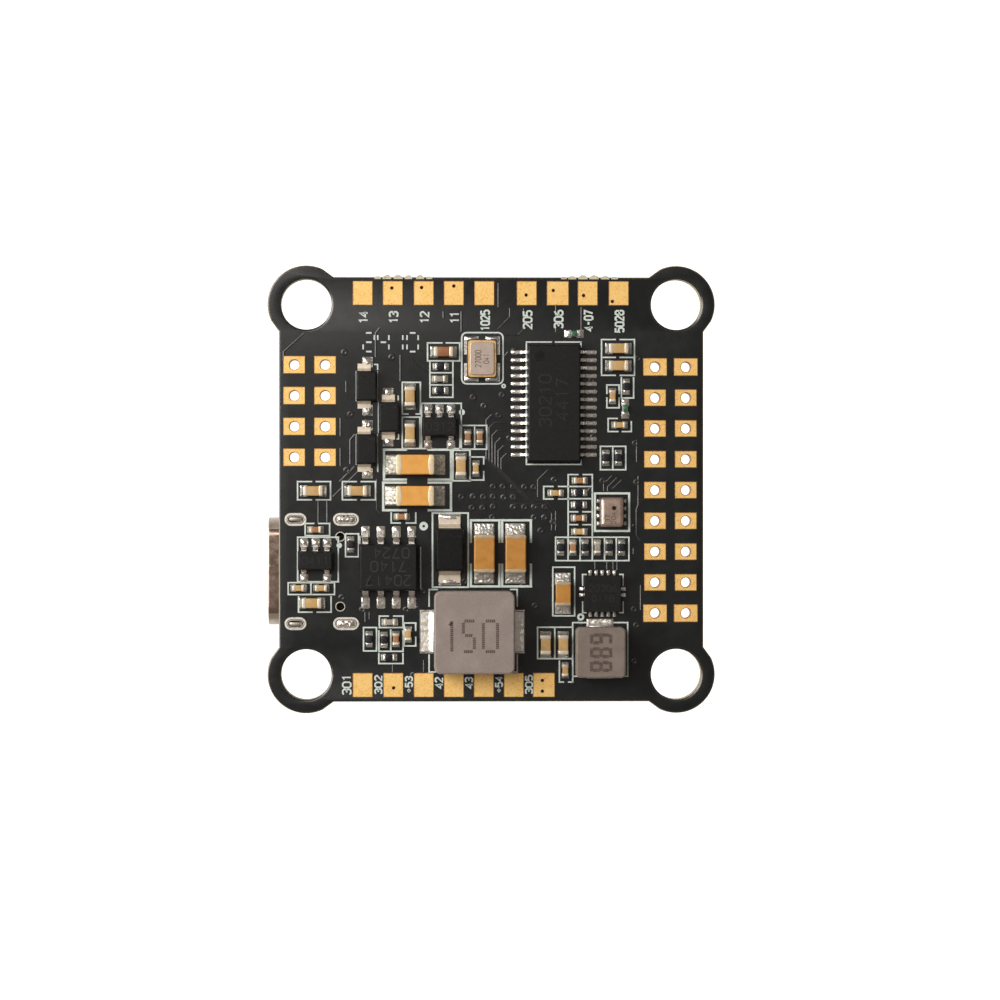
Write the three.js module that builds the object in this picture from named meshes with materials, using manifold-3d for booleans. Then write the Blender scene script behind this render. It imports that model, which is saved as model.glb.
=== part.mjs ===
// Flight controller board: a 35 x 35 mm four-lug circuit board with components on both faces,
// a USB-C receptacle under the left edge and a sprung boot button underneath.
//
// Frame: millimetres. The origin is the middle of the 30.5 mm hole pattern on the upper copper face.
// +Z is out of the upper face, -X points out of the USB mouth, the XY plane is the board's upper face.
import * as THREE from "three";
import { mergeVertices } from "three/addons/utils/BufferGeometryUtils.js";
import Module from "manifold-3d";

const wasm = await Module();
wasm.setup();

// ---------------------------------------------------------------- driving dimensions
const BOARD = 35.0; // side of the square between the lugs
const THICK = 1.6; // laminate thickness
const PATTERN = 30.5; // mounting hole pattern, both ways
const LUG_R = 3.2; // outer radius of each lug
const MOUNT_HOLE_D = 4.15; // mounting hole, bare, before any grommet
const LUG_START = 13.0; // where the straight edge leaves for the lug
const LUG_ANGLE = 25.2; // degrees past the edge direction at which the flank meets the lug circle

const PITCH = 2.54; // pad pitch of both pin fields
const PAD_HOLE_D = 0.9;
const LEFT_FIELD = { x: [-16.23, -13.69], top: 10.26, rows: 4 };
const RIGHT_FIELD = { x: [13.52, 16.06], top: 10.1, rows: 9 };

const NIB_W = 0.62; // break-away tab remains along the upper edge
const NIB_H = 0.22;
const NIBS = [-9.4, -8.62, -7.71, -6.82, -5.86, -5.13, 6.69, 7.54, 8.5, 9.41, 10.19];

const USB = {
  y: -6.77, // middle of the receptacle
  front: -18.45, // plane of the mouth
  depth: 7.3,
  width: 8.94,
  height: 3.16,
  wall: 0.3,
  slotX: [-16.13, -11.97], // tab slots
  slotY: 4.29, // from the middle line
  slot: [[1.35, 0.62], [1.65, 0.62]], // length and width, front then rear
  pegX: -12.45,
  pegY: 2.88,
  pegD: 0.65,
};

const BUTTON = {
  x: -8.4,
  y: -12.7,
  body: [3.0, 2.6, 1.3],
  bore: 1.5,
  boreDepth: 1.1,
  plunger: 1.3,
  proud: 0.3, // plunger above the body at rest
  reach: 0.75, // plunger length inside the body
};

// Round parts are polygons with this many sides.
const SIDES_LARGE = 32;
const SIDES_SMALL = 10;

// ---------------------------------------------------------------- materials
const finish = (color, roughness, metalness = 0) =>
  new THREE.MeshStandardMaterial({ color, roughness, metalness });
const MASK = finish(0x2b2d2e, 0.45);
const EPOXY = finish(0x232425, 0.7);
const FERRITE = finish(0x8f8179, 0.8);
const CERAMIC_TAN = finish(0xbc9765, 0.55);
const CERAMIC_BROWN = finish(0x9a6a44, 0.5);
const CERAMIC_ORANGE = finish(0xd0934c, 0.5);
const RESISTOR = finish(0x202226, 0.4);
const BEAD = finish(0x8b8678, 0.6);
const LAMP = finish(0x9fb487, 0.35);
const LID = finish(0xad9d8e, 0.35, 0.9);
const STEEL = finish(0xc9c7c3, 0.25, 1.0);
const PLASTIC_BLACK = finish(0x151515, 0.6);
const PLASTIC_CREAM = finish(0xd8cdb4, 0.5);

// ---------------------------------------------------------------- solids
function solid(geometry) {
  const g = geometry.clone();
  for (const name of Object.keys(g.attributes)) if (name !== "position") g.deleteAttribute(name);
  const m = mergeVertices(g, 1e-4);
  return new wasm.Manifold(
    new wasm.Mesh({
      numProp: 3,
      vertProperties: new Float32Array(m.attributes.position.array),
      triVerts: new Uint32Array(m.index.array),
    }),
  );
}

function geometryOf(manifold) {
  const m = manifold.getMesh();
  const p = new Float32Array(m.numVert * 3);
  for (let i = 0; i < m.numVert; i++)
    for (let k = 0; k < 3; k++) p[3 * i + k] = m.vertProperties[i * m.numProp + k];
  const g = new THREE.BufferGeometry();
  g.setAttribute("position", new THREE.BufferAttribute(p, 3));
  g.setIndex(new THREE.BufferAttribute(new Uint32Array(m.triVerts), 1));
  const flat = g.toNonIndexed();
  flat.computeVertexNormals();
  return flat;
}

const joined = (pieces) => pieces.map(solid).reduce((a, b) => a.add(b));

// A box between two corners.
function block(x0, x1, y0, y1, z0, z1) {
  return new THREE.BoxGeometry(x1 - x0, y1 - y0, z1 - z0).translate(
    (x0 + x1) / 2,
    (y0 + y1) / 2,
    (z0 + z1) / 2,
  );
}

// A moulded body: full size at its parting plane, drawn in by `draft` towards the top and the underside.
function moulded(length, width, height, draft, z0 = 0) {
  const a = length / 2 - draft;
  const b = width / 2 - draft;
  const shape = new THREE.Shape([
    new THREE.Vector2(-a, -b),
    new THREE.Vector2(a, -b),
    new THREE.Vector2(a, b),
    new THREE.Vector2(-a, b),
  ]);
  const waist = 0.06;
  const slope = (height - waist) / 2;
  return new THREE.ExtrudeGeometry(shape, {
    depth: waist,
    bevelEnabled: true,
    bevelThickness: slope,
    bevelSize: draft,
    bevelSegments: 1,
    steps: 1,
  }).translate(0, 0, z0 + slope);
}

// A block with its upper edges cut back, as pressed ferrite and metal lids are.
function capped(length, width, height, cut, corner, z0 = 0) {
  const s = new THREE.Shape();
  const a = length / 2 - cut;
  const b = width / 2 - cut;
  const c = Math.max(corner - cut, 0.02);
  s.moveTo(-a + c, -b);
  s.lineTo(a - c, -b);
  s.quadraticCurveTo(a, -b, a, -b + c);
  s.lineTo(a, b - c);
  s.quadraticCurveTo(a, b, a - c, b);
  s.lineTo(-a + c, b);
  s.quadraticCurveTo(-a, b, -a, b - c);
  s.lineTo(-a, -b + c);
  s.quadraticCurveTo(-a, -b, -a + c, -b);
  const upper = new THREE.ExtrudeGeometry(s, {
    depth: height - cut,
    bevelEnabled: true,
    bevelThickness: cut,
    bevelSize: cut,
    bevelSegments: 1,
    curveSegments: 2,
    steps: 1,
  }).translate(0, 0, z0);
  // the lower bevel hangs below z0, so it is cut off flat
  return solid(upper).subtract(
    solid(block(-length, length, -width, width, z0 - 2 * cut - 1, z0)),
  );
}

// A gull-wing lead, its root at u = 0 on the body wall, its foot on z = 0, pointing along +X.
function gullLead(width, reach, rootTop, t, turn, x, y) {
  const s = new THREE.Shape([
    new THREE.Vector2(-0.12, rootTop - t),
    new THREE.Vector2(0.2 * reach, rootTop - t),
    new THREE.Vector2(0.42 * reach, 0),
    new THREE.Vector2(reach, 0),
    new THREE.Vector2(reach, t),
    new THREE.Vector2(0.56 * reach, t),
    new THREE.Vector2(0.34 * reach, rootTop),
    new THREE.Vector2(-0.12, rootTop),
  ]);
  return new THREE.ExtrudeGeometry(s, { depth: width, bevelEnabled: false, steps: 1 })
    .rotateX(Math.PI / 2)
    .translate(0, width / 2, 0)
    .rotateZ(turn)
    .translate(x, y, 0);
}

const prism = (radius, z0, z1, sides) =>
  new THREE.CylinderGeometry(radius, radius, z1 - z0, sides)
    .rotateX(Math.PI / 2)
    .translate(0, 0, (z0 + z1) / 2);

// ---------------------------------------------------------------- components, each standing on z = 0
// Two-terminal ceramic or film part: end caps of full section round a slightly slimmer body.
function chip(length, width, height, cap) {
  const a = length / 2;
  const b = width / 2;
  const s = 0.03;
  return geometryOf(
    joined([
      block(-a + cap / 2, a - cap / 2, -b + s, b - s, 0.02, height - s),
      block(-a, -a + cap, -b, b, 0, height),
      block(a - cap, a, -b, b, 0, height),
    ]),
  );
}

// Two-lead moulded diode, length along X.
function diode(length, width, height, leadWidth, reach, draft, t = 0.15) {
  return geometryOf(
    joined([
      moulded(length, width, height - 0.05, draft, 0.05),
      gullLead(leadWidth, reach, height * 0.5, t, 0, length / 2 - 0.02, 0),
      gullLead(leadWidth, reach, height * 0.5, t, Math.PI, -length / 2 + 0.02, 0),
    ]),
  );
}

// Dual-row package, leads along +Y and -Y, body length along X.
function dualRow({ length, width, height, stand, pitch, count, leadWidth, reach, draft, skip = [] }) {
  const pieces = [moulded(length, width, height - stand, draft, stand)];
  for (let i = 0; i < count; i++) {
    const x = (i - (count - 1) / 2) * pitch;
    pieces.push(gullLead(leadWidth, reach, stand + (height - stand) * 0.55, 0.15, Math.PI / 2, x, width / 2 - 0.02));
    if (!skip.includes(i))
      pieces.push(
        gullLead(leadWidth, reach, stand + (height - stand) * 0.55, 0.15, -Math.PI / 2, x, -width / 2 + 0.02),
      );
  }
  return geometryOf(joined(pieces));
}

// Four-row package.
function quadRow({ side, height, stand, pitch, count, leadWidth, reach, draft }) {
  const pieces = [moulded(side, side, height - stand, draft, stand)];
  for (let row = 0; row < 4; row++) {
    const turn = (row * Math.PI) / 2;
    for (let i = 0; i < count; i++) {
      const along = (i - (count - 1) / 2) * pitch;
      const out = side / 2 - 0.02;
      const x = out * Math.cos(turn) - along * Math.sin(turn);
      const y = out * Math.sin(turn) + along * Math.cos(turn);
      pieces.push(gullLead(leadWidth, reach, stand + (height - stand) * 0.55, 0.13, turn, x, y));
    }
  }
  return geometryOf(joined(pieces));
}

// Leadless package: a sawn block whose lands show as slivers along its lower edge.
function leadless(length, width, height, perX, perY, pitch, landWidth) {
  const pieces = [block(-length / 2, length / 2, -width / 2, width / 2, 0.02, height)];
  const proud = 0.04;
  for (let i = 0; i < perX; i++) {
    const x = (i - (perX - 1) / 2) * pitch;
    for (const s of [1, -1])
      pieces.push(
        block(x - landWidth / 2, x + landWidth / 2, ...[s * (width / 2 - 0.3), s * (width / 2 + proud)].sort((p, q) => p - q), 0, 0.2),
      );
  }
  for (let i = 0; i < perY; i++) {
    const y = (i - (perY - 1) / 2) * pitch;
    for (const s of [1, -1])
      pieces.push(
        block(...[s * (length / 2 - 0.3), s * (length / 2 + proud)].sort((p, q) => p - q), y - landWidth / 2, y + landWidth / 2, 0, 0.2),
      );
  }
  return geometryOf(joined(pieces));
}

// Shielded power inductor, terminals on +X and -X.
function inductor(length, width, height, cut, corner, terminalWidth, terminal) {
  let m = capped(length, width, height - 0.1, cut, corner, 0.1);
  for (const s of [1, -1]) {
    const x = [s * (length / 2 - 1.0), s * (length / 2 + terminal)].sort((p, q) => p - q);
    m = m.add(solid(block(x[0], x[1], -terminalWidth / 2, terminalWidth / 2, 0, 0.4)));
  }
  return geometryOf(m);
}

// Ceramic crystal package: base with corner castellations and a seam-welded lid.
function crystal(length, width, base, lid) {
  let m = solid(block(-length / 2, length / 2, -width / 2, width / 2, 0, base));
  m = m.add(capped(length - 0.3, width - 0.3, lid, 0.06, 0.3, base));
  return geometryOf(m);
}

// Pressure sensor: substrate, metal lid with a vent.
function pressureSensor(length, width, height) {
  let m = solid(block(-length / 2, length / 2, -width / 2, width / 2, 0, 0.25));
  m = m.add(capped(length - 0.14, width - 0.14, height - 0.25, 0.08, 0.3, 0.25));
  m = m.subtract(solid(prism(0.2, height - 0.35, height + 1, 10).translate(0.17, 0.34, 0)));
  return geometryOf(m);
}

// Chip lamp: substrate with end caps and a clear lens.
function lamp(length, width, height, cap) {
  const a = length / 2;
  const b = width / 2;
  return geometryOf(
    joined([
      block(-a, a, -b, b, 0, 0.2 * height + 0.08),
      moulded(length - 2 * cap, width - 0.04, height - 0.1, 0.05, 0.1),
    ]),
  );
}

// ---------------------------------------------------------------- the board
function boardOutline() {
  const pts = [];
  const h = BOARD / 2;
  const c = PATTERN / 2;
  const span = 90 + 2 * LUG_ANGLE;
  const steps = 14;
  for (let corner = 0; corner < 4; corner++) {
    const turn = (corner * Math.PI) / 2; // corner 0 is +X +Y, then counter-clockwise
    const put = (x, y) =>
      pts.push(
        new THREE.Vector2(
          Math.round((x * Math.cos(turn) - y * Math.sin(turn)) * 1e4) / 1e4,
          Math.round((x * Math.sin(turn) + y * Math.cos(turn)) * 1e4) / 1e4,
        ),
      );
    put(h, LUG_START);
    for (let i = 0; i <= steps; i++) {
      const a = ((-LUG_ANGLE + (span * i) / steps) * Math.PI) / 180;
      put(c + LUG_R * Math.cos(a), c + LUG_R * Math.sin(a));
    }
    put(LUG_START, h);
    if (corner === 0)
      for (const x of [...NIBS].reverse())
        for (const [dx, dy] of [[0.5, 0], [0.38, 0.72], [0, 1], [-0.38, 0.72], [-0.5, 0]])
          pts.push(new THREE.Vector2(x + dx * NIB_W, h + dy * NIB_H));
  }
  return pts;
}

function circlePoints(x, y, d, sides, phase = 0) {
  const pts = [];
  for (let i = 0; i < sides; i++) {
    const a = phase + (2 * Math.PI * i) / sides;
    pts.push(new THREE.Vector2(x + (d / 2) * Math.cos(a), y + (d / 2) * Math.sin(a)));
  }
  return pts;
}

function slotPoints(x, y, length, width) {
  const r = width / 2;
  const a = length / 2 - r;
  const pts = [];
  for (const [cx, from] of [[x + a, -90], [x - a, 90]])
    for (let i = 0; i <= 4; i++) {
      const t = ((from + 45 * i) * Math.PI) / 180;
      pts.push(new THREE.Vector2(cx + r * Math.cos(t), y + r * Math.sin(t)));
    }
  return pts;
}

// Small squares of bare laminate on the faces, where the board is measured from: the middle, and each lug outboard of its hole.
function datumSquares() {
  const square = (x, y, half, angle) =>
    [45, 135, 225, 315].map((deg) => {
      const t = ((deg + angle) * Math.PI) / 180;
      return new THREE.Vector2(x + half * Math.SQRT2 * Math.cos(t), y + half * Math.SQRT2 * Math.sin(t));
    });
  const out = [square(0, 0, 0.8, 0)];
  const d = (MOUNT_HOLE_D / 2 + LUG_R) / 2 / Math.SQRT2;
  for (const sx of [1, -1])
    for (const sy of [1, -1])
      out.push(square((sx * PATTERN) / 2 + sx * d, (sy * PATTERN) / 2 + sy * d, 0.3, 45));
  return out;
}

function board() {
  const outline = boardOutline();
  const c = PATTERN / 2;
  const holes = [];
  for (const sx of [1, -1])
    for (const sy of [1, -1]) holes.push(circlePoints(sx * c, sy * c, MOUNT_HOLE_D, SIDES_LARGE));
  for (const field of [LEFT_FIELD, RIGHT_FIELD])
    for (const x of field.x)
      for (let r = 0; r < field.rows; r++)
        holes.push(circlePoints(x, field.top - r * PITCH, PAD_HOLE_D, SIDES_SMALL));
  USB.slotX.forEach((x, i) => {
    for (const s of [1, -1]) holes.push(slotPoints(x, USB.y + s * USB.slotY, ...USB.slot[i]));
  });
  for (const s of [1, -1]) holes.push(circlePoints(USB.pegX, USB.y + s * USB.pegY, USB.pegD, 8));
  const squares = datumSquares();

  // Faces: the squares are cut out of the big face and filled with two triangles each, so each is a face of its own.
  const position = [];
  const tri = (a, b, d, z, up) => {
    const order = up ? [a, b, d] : [a, d, b];
    for (const p of order) position.push(p.x, p.y, z);
  };
  const orient = (loop, ccw) => (THREE.ShapeUtils.isClockWise(loop) === ccw ? [...loop].reverse() : loop);
  const outer = orient(outline, true);
  const inner = [...holes, ...squares].map((l) => orient(l, false));
  const all = [outer, ...inner].flat();
  for (const [a, b, d] of THREE.ShapeUtils.triangulateShape(outer, inner)) {
    tri(all[a], all[b], all[d], 0, true);
    tri(all[a], all[b], all[d], -THICK, false);
  }
  for (const l of squares.map((s) => orient(s, true)))
    for (const [a, b, d] of [[0, 1, 2], [0, 2, 3]]) {
      tri(l[a], l[b], l[d], 0, true);
      tri(l[a], l[b], l[d], -THICK, false);
    }
  // Walls: round the outline and down every hole.
  for (const l of [outer, ...holes.map((h) => orient(h, false))])
    for (let i = 0; i < l.length; i++) {
      const p = l[i];
      const q = l[(i + 1) % l.length];
      position.push(p.x, p.y, 0, p.x, p.y, -THICK, q.x, q.y, -THICK);
      position.push(p.x, p.y, 0, q.x, q.y, -THICK, q.x, q.y, 0);
    }
  const g = new THREE.BufferGeometry();
  g.setAttribute("position", new THREE.Float32BufferAttribute(position, 3));
  g.computeVertexNormals();
  return g;
}

// ---------------------------------------------------------------- USB-C receptacle, drawn the way it sits
function stadium(width, height, sides) {
  const r = height / 2 - 0.02;
  const a = width / 2 - r;
  const s = new THREE.Shape();
  const pts = [];
  for (const [cx, from] of [[a, -90], [-a, 90]])
    for (let i = 0; i <= sides; i++) {
      const t = ((from + (180 * i) / sides) * Math.PI) / 180;
      pts.push(new THREE.Vector2(cx + r * Math.cos(t), (height / 2) * Math.sin(t)));
    }
  s.setFromPoints(pts);
  return s;
}

const usbMiddle = -THICK - USB.height / 2;

// The section lies across Y and Z and runs back along +X.
function usbRun(shape, x0, x1) {
  return new THREE.ExtrudeGeometry(shape, { depth: x1 - x0, bevelEnabled: false, steps: 1 })
    .rotateZ(Math.PI / 2)
    .rotateY(Math.PI / 2)
    .translate(x0, USB.y, usbMiddle);
}

function usbShell() {
  const rear = USB.front + USB.depth;
  let m = solid(usbRun(stadium(USB.width, USB.height, 8), USB.front, rear));
  m = m.subtract(
    solid(usbRun(stadium(USB.width - 2 * USB.wall, USB.height - 2 * USB.wall, 8), USB.front - 1, rear + 1)),
  );
  USB.slotX.forEach((x, i) => {
    const half = USB.slot[i][0] / 2 - 0.15;
    for (const s of [1, -1]) {
      const y = [s * (USB.slotY - 0.12), s * (USB.slotY + 0.18)].sort((p, q) => p - q);
      m = m.add(solid(block(x - half, x + half, USB.y + y[0], USB.y + y[1], usbMiddle - 0.25, -0.1)));
    }
  });
  return geometryOf(m);
}

function usbInsulator() {
  const rear = USB.front + USB.depth;
  const gap = 0.05;
  const fill = stadium(USB.width - 2 * USB.wall - 2 * gap, USB.height - 2 * USB.wall - 2 * gap, 8);
  let m = solid(usbRun(fill, USB.front + 5.0, rear));
  m = m.add(solid(block(USB.front + 0.85, USB.front + 5.2, USB.y - 3.35, USB.y + 3.35, usbMiddle - 0.35, usbMiddle + 0.35)));
  m = m.add(solid(block(USB.front + 4.4, USB.front + 5.2, USB.y - 3.6, USB.y + 3.6, usbMiddle - 0.6, usbMiddle + 0.6)));
  // twelve contact tails on the rear wall, each turned up onto its pad
  for (let i = 0; i < 12; i++) {
    const y = USB.y + (i - 5.5) * 0.5;
    m = m.add(solid(block(rear - 0.1, rear + 0.16, y - 0.12, y + 0.12, -THICK - 0.62, -THICK - 0.42)));
    m = m.add(solid(block(rear + 0.04, rear + 0.16, y - 0.12, y + 0.12, -THICK - 0.62, -THICK)));
    m = m.add(solid(block(rear + 0.04, rear + 0.7, y - 0.12, y + 0.12, -THICK - 0.16, -THICK)));
  }
  return geometryOf(m);
}

// ---------------------------------------------------------------- boot button, drawn standing on z = 0
function buttonBody() {
  const [l, w, h] = BUTTON.body;
  let m = capped(l, w, h, 0.1, 0.25);
  for (const s of [1, -1]) {
    const x = [s * (l / 2 - 0.3), s * (l / 2 + 0.3)].sort((p, q) => p - q);
    m = m.add(solid(block(x[0], x[1], -0.85, 0.85, 0, 0.15)));
  }
  m = m.subtract(solid(prism(BUTTON.bore / 2, h - BUTTON.boreDepth, h + 1, 24)));
  return geometryOf(m);
}

function buttonPlunger() {
  const h = BUTTON.body[2];
  const r = BUTTON.plunger / 2;
  const top = h + BUTTON.proud;
  const bottom = h - BUTTON.reach;
  const profile = [
    [0, bottom],
    [r - 0.05, bottom],
    [r, bottom + 0.05],
    [r, top - 0.1],
    [r - 0.04, top - 0.03],
    [r - 0.12, top],
    [0, top],
  ].map(([x, y]) => new THREE.Vector2(x, y));
  return geometryOf(solid(new THREE.LatheGeometry(profile, 24).rotateX(Math.PI / 2)));
}

// ---------------------------------------------------------------- assembly
const assembly = new THREE.Group();
assembly.name = "flight_controller_board";
const upper = new THREE.Group();
const lower = new THREE.Group();
lower.rotation.x = Math.PI; // components hang from the underside
lower.position.z = -THICK;
assembly.add(upper, lower);

function add(group, name, geometry, material, x = 0, y = 0, degrees = 0) {
  const mesh = new THREE.Mesh(geometry, material);
  mesh.name = name;
  mesh.position.set(x, group === lower ? -y : y, 0);
  mesh.rotation.z = (degrees * Math.PI) / 180;
  group.add(mesh);
  return mesh;
}

add(upper, "circuit_board", board(), MASK);

// Packages used more than once.
const sot235 = () =>
  dualRow({ length: 2.9, width: 1.6, height: 1.15, stand: 0.08, pitch: 0.95, count: 3, leadWidth: 0.4, reach: 0.62, draft: 0.08, skip: [1] });
const sod123 = () => diode(2.5, 1.72, 1.05, 1.1, 0.62, 0.09);
const cap1206 = () => chip(3.15, 1.65, 1.55, 0.42);
const cap0805 = () => chip(2.0, 1.25, 1.2, 0.35);
const cap0603 = () => chip(1.6, 0.82, 0.8, 0.26);
const cap0402 = () => chip(1.0, 0.5, 0.5, 0.2);
const res0402 = () => chip(1.0, 0.5, 0.35, 0.18);
const lamp0402 = () => lamp(1.0, 0.5, 0.45, 0.22);

// Video overlay chip and its clock.
add(
  upper,
  "osd_chip",
  dualRow({ length: 9.7, width: 4.4, height: 1.1, stand: 0.1, pitch: 0.65, count: 14, leadWidth: 0.26, reach: 1.0, draft: 0.1 }),
  EPOXY, 5.15, 7.08, 90,
);
add(upper, "osd_crystal", crystal(3.2, 2.5, 0.55, 0.25), LID, -0.78, 10.76, 90);

// Power section.
add(
  upper,
  "buck_regulator",
  dualRow({ length: 4.9, width: 3.9, height: 1.55, stand: 0.12, pitch: 1.27, count: 4, leadWidth: 0.42, reach: 1.1, draft: 0.14 }),
  EPOXY, -8.47, -6.42, 0,
);
add(upper, "regulator_a", sot235(), EPOXY, -4.28, 5.16, 0);
add(upper, "regulator_b", sot235(), EPOXY, -14.48, -5.86, 0);
add(upper, "converter", leadless(3.0, 3.0, 0.88, 5, 2, 0.5, 0.25), EPOXY, 9.15, -8.58, 0);
add(upper, "inductor_large", inductor(6.6, 6.75, 3.0, 0.25, 0.7, 3.0, 0.3), FERRITE, -1.43, -11.72, 0);
add(upper, "inductor_small", inductor(4.15, 4.1, 2.0, 0.2, 0.5, 1.9, 0.25), FERRITE, 8.95, -13.39, 90);
add(upper, "power_diode", diode(3.55, 2.4, 1.5, 1.8, 0.95, 0.14, 0.2), EPOXY, -3.44, -4.96, 90);
add(upper, "schottky_diode_a", sod123(), EPOXY, -10.27, 8.5, 90);
add(upper, "schottky_diode_b", sod123(), EPOXY, -10.27, 3.3, 90);
add(upper, "schottky_diode_c", sod123(), EPOXY, -8.43, 5.95, 90);

// Pressure sensor.
add(upper, "barometer", pressureSensor(2.0, 2.5, 0.95), LID, 9.91, -1.88, 0);

// Bulk and bypass capacitors.
const CAPS = [
  ["capacitor_1206_a", cap1206, CERAMIC_ORANGE, -6.28, 2.03, 0],
  ["capacitor_1206_b", cap1206, CERAMIC_ORANGE, -6.29, -0.54, 0],
  ["capacitor_1206_c", cap1206, CERAMIC_ORANGE, -0.6, -5.28, 90],
  ["capacitor_1206_d", cap1206, CERAMIC_ORANGE, 1.98, -5.28, 90],
  ["capacitor_0805", cap0805, CERAMIC_ORANGE, 5.9, -8.58, 90],
  ["capacitor_0603_a", cap0603, CERAMIC_BROWN, -3.95, 11.33, 0],
  ["capacitor_0603_b", cap0603, CERAMIC_TAN, -6.71, 7.66, 90],
  ["capacitor_0603_c", cap0603, CERAMIC_TAN, -6.71, 4.62, 90],
  ["capacitor_0603_d", cap0603, CERAMIC_TAN, -2.51, 1.93, 90],
  ["capacitor_0603_e", cap0603, CERAMIC_TAN, 10.48, 11.62, 0],
  ["capacitor_0603_f", cap0603, CERAMIC_TAN, 10.48, 10.2, 0],
  ["capacitor_0603_g", cap0603, CERAMIC_TAN, -11.04, -0.13, 0],
  ["capacitor_0603_h", cap0603, CERAMIC_TAN, -14.67, -0.13, 0],
  ["capacitor_0603_i", cap0603, CERAMIC_TAN, -14.78, -9.37, 0],
  ["capacitor_0603_j", cap0603, CERAMIC_TAN, 4.47, -12.79, 90],
  ["capacitor_0603_k", cap0603, CERAMIC_TAN, 5.92, -12.79, 90],
  ["capacitor_0402_a", cap0402, CERAMIC_TAN, -1.95, 4.32, 90],
  ["capacitor_0402_b", cap0402, CERAMIC_TAN, -0.96, 4.32, 90],
  ["capacitor_0402_c", cap0402, CERAMIC_TAN, -1.28, 1.72, 90],
  ["capacitor_0402_d", cap0402, CERAMIC_TAN, 9.99, 7.7, 90],
  ["capacitor_0402_e", cap0402, CERAMIC_TAN, 10.57, 5.31, 0],
  ["capacitor_0402_f", cap0402, CERAMIC_TAN, 5.3, -0.3, 0],
  ["capacitor_0402_g", cap0402, CERAMIC_TAN, 7.29, 0.73, 0],
  ["capacitor_0402_h", cap0402, CERAMIC_TAN, 7.22, -2.37, 0],
  ["capacitor_0402_i", cap0402, CERAMIC_TAN, 7.25, -3.48, 0],
];
for (const [name, make, material, x, y, turn] of CAPS) add(upper, name, make(), material, x, y, turn);

// Resistors, bead and lamps beside the video chip.
add(upper, "resistor_0402_a", res0402(), RESISTOR, -4.18, 10.12, 0);
add(upper, "bead_0402", chip(1.0, 0.5, 0.5, 0.2), BEAD, -4.25, 9.1, 0);
add(upper, "resistor_0402_b", res0402(), RESISTOR, -4.21, 8.15, 0);
add(upper, "resistor_0402_c", res0402(), RESISTOR, 11.14, 8.48, 90);
add(upper, "resistor_0402_d", res0402(), RESISTOR, 9.43, 2.61, 90);
add(upper, "resistor_0402_e", res0402(), RESISTOR, 10.48, 2.61, 90);
add(upper, "resistor_0402_f", res0402(), RESISTOR, 7.25, -0.26, 0);
add(upper, "resistor_0402_g", res0402(), RESISTOR, 7.22, -1.27, 0);
add(upper, "lamp_0402_a", lamp0402(), LAMP, 6.81, 12.83, 0);
add(upper, "lamp_0402_b", lamp0402(), LAMP, 11.04, 6.65, 90);

// Underside: processor, motion sensor, memory, clock, 3.3 V regulator, status lamps.
add(
  lower,
  "processor",
  quadRow({ side: 10.0, height: 1.5, stand: 0.1, pitch: 0.5, count: 16, leadWidth: 0.22, reach: 1.0, draft: 0.12 }),
  EPOXY, 0.5, 2.6, 0,
);
add(lower, "motion_sensor", leadless(4.0, 4.0, 0.9, 6, 6, 0.5, 0.25), EPOXY, 9.3, -4.6, 0);
add(lower, "processor_crystal", crystal(3.2, 2.5, 0.55, 0.25), LID, -8.6, 5.2, 90);
add(
  lower,
  "log_memory",
  dualRow({ length: 4.9, width: 3.9, height: 1.55, stand: 0.12, pitch: 1.27, count: 4, leadWidth: 0.42, reach: 1.1, draft: 0.14 }),
  EPOXY, 1.6, -9.3, 0,
);
add(lower, "regulator_3v3", sot235(), EPOXY, -4.6, -9.6, 0);
add(lower, "status_lamp_a", lamp(1.6, 0.82, 0.6, 0.35), LAMP, -9.2, -3.6, 90);
add(lower, "status_lamp_b", lamp(1.6, 0.82, 0.6, 0.35), LAMP, -9.2, -6.4, 90);

// Boot button: the plunger slides 0.2 mm up into its body.
add(lower, "boot_button_body", buttonBody(), PLASTIC_BLACK, BUTTON.x, BUTTON.y, 0);
add(lower, "boot_button_plunger", buttonPlunger(), PLASTIC_CREAM, BUTTON.x, BUTTON.y, 0);

// USB-C receptacle.
add(upper, "usb_shell", usbShell(), STEEL);
add(upper, "usb_insulator", usbInsulator(), PLASTIC_BLACK);

export default assembly;
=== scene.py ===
"""Visual model of the flight controller board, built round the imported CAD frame. Lengths inside the builders are in millimetres; every mesh is made in metres."""
import math
import random

import bmesh
import bpy
from mathutils import Matrix, Vector, geometry, noise


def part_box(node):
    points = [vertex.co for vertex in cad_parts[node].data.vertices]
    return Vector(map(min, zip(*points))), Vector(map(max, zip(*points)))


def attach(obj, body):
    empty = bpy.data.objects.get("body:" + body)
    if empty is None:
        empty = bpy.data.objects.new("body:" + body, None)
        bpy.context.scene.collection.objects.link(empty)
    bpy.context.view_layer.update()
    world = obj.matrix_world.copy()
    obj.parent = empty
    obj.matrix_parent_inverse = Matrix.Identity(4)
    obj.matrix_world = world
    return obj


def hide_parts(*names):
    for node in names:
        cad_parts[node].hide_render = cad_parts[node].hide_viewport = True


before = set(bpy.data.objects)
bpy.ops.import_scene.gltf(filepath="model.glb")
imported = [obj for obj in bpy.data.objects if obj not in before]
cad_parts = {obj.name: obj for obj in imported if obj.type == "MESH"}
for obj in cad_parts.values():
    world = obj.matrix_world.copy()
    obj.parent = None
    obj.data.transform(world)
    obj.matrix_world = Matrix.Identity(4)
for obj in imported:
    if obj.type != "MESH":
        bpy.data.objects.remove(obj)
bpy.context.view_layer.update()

MM = 0.001
THICK = 1.6
BOARD = 35.0
PATTERN = 30.5
LUG_R = 3.2
HOLE_D = 4.15
LUG_START = 13.0
LUG_ANGLE = 25.2
MASK_TOP = 0.0
scene = bpy.context.scene
FLOOR_GLOW = 0.9
WORLD = (0.20, 0.182, 0.168)
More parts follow.
